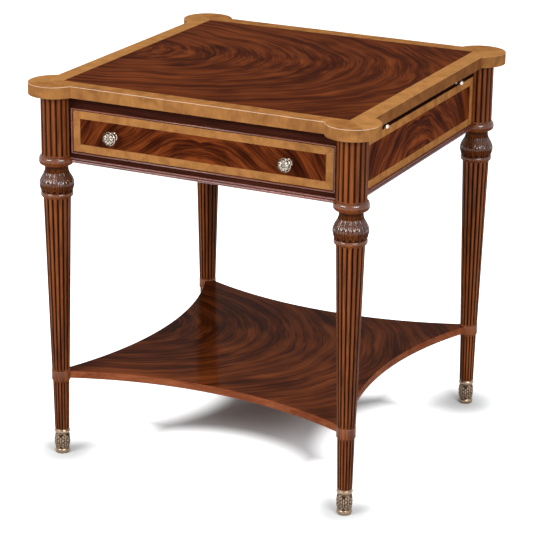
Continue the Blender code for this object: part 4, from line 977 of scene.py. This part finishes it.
room = bmesh.new()
bmesh.ops.create_grid(room, x_segments=1, y_segments=1, size=9.0)
paper_mesh = bpy.data.meshes.new("paper_floor")
room.to_mesh(paper_mesh)
room.free()
paper = bpy.data.objects.new("paper_floor", paper_mesh)
bpy.context.scene.collection.objects.link(paper)
paper_white = bpy.data.materials.new("white paper")
paper_white.use_nodes = True
tree = paper_white.node_tree

# The paper glows as white as the world round it where it is seen, except in a painted shadow of
# the table: a soft shape with hollow sides, like the shelf that throws it, and a small dark patch
# at each foot. There the glow fades and the lamps' own shade shows.
shade_middle, shade_reach = (-0.02, 0.06, 0), 0.215
shade_hollow_radius, shade_hollow_centre = 0.256, 0.356
deep_in, clear_out, deepest_glow = 0.012, 0.062, 0.03
foot_patch_dark, foot_patch_edge, foot_patch_glow = 0.01, 0.12, 0.08
soft = {"interpolation_type": "SMOOTHSTEP"}
place_on_paper = put(tree, "TexCoord").outputs["Object"]
from_shade = reckon_place(tree, "SUBTRACT", place_on_paper, shade_middle)
under_shelf = reckon_place(tree, "ABSOLUTE", from_shade)
inside = reckon(tree, "SUBTRACT", shade_reach + shade_hollow_radius,
                distance(tree, under_shelf, (0, 0, 0)))
for centre in ((shade_hollow_centre, 0, 0), (0, shade_hollow_centre, 0)):
    inside = reckon(tree, "MINIMUM", distance(tree, under_shelf, centre), inside)
glow = refit(tree, inside, shade_hollow_radius + deep_in, shade_hollow_radius - clear_out, **soft)
glow = reckon(tree, "ADD", glow, deepest_glow)
quadrant = reckon_place(tree, "ABSOLUTE", place_on_paper)
from_foot = distance(tree, quadrant, (leg_axis, leg_axis, 0))
near_foot = refit(tree, from_foot, foot_patch_dark, foot_patch_edge, foot_patch_glow, **soft)
glow = reckon(tree, "MULTIPLY", reckon(tree, "MULTIPLY", glow, near_foot), looked_at(tree))
feed(tree, tree.nodes["Principled BSDF"], {
    "Base Color": (0.895, 0.93, 0.945, 1), "Roughness": 0.9, "Specular IOR Level": 0.0,
    "Emission Color": (1, 1, 1, 1), "Emission Strength": glow})
paper_mesh.materials.append(paper_white)


def soft_lamp(name, place, aim, wide, high, power):
    """A soft box: an area lamp at a place, turned towards a point."""
    data = bpy.data.lights.new(name, "AREA")
    data.shape = "RECTANGLE"
    data.size, data.size_y, data.energy = wide, high, power
    lamp = bpy.data.objects.new(name, data)
    bpy.context.scene.collection.objects.link(lamp)
    lamp.location = place
    lamp.rotation_euler = (Vector(aim) - Vector(place)).to_track_quat("-Z", "Y").to_euler()


soft_lamp("over_soft_box", (0.1, 0.0, 5.5), (0, 0, 0.3), 2.2, 2.2, 150.0)
soft_lamp("key_soft_box", (2.75, -1.95, 2.1), (0.1, -0.1, 0.5), 1.9, 0.75, 62.0)
soft_lamp("left_soft_box", (-1.45, -3.1, 2.1), (0, -0.2, 0.5), 1.9, 0.75, 74.0)

camera_data = bpy.data.cameras.new("camera")
camera_data.lens = 149.09
camera_data.sensor_width = 36.0
camera = bpy.data.objects.new("camera", camera_data)
bpy.context.scene.collection.objects.link(camera)
camera.location = (1.72486, -3.51988, 1.67350)
camera.rotation_euler = [math.radians(a) for a in (71.0014, -0.58865, 26.45398)]
bpy.context.scene.camera = camera

# A white world that is seen at full strength but gives only a little light
world = bpy.data.worlds.new("studio")
world.use_nodes = True
tree = world.node_tree
feed(tree, tree.nodes["Background"], {
    "Color": (1, 1, 1, 1), "Strength": refit(tree, looked_at(tree), 0.0, 1.0, 0.10, 1.0)})
bpy.context.scene.world = world
bpy.context.scene.view_settings.view_transform = "Standard"
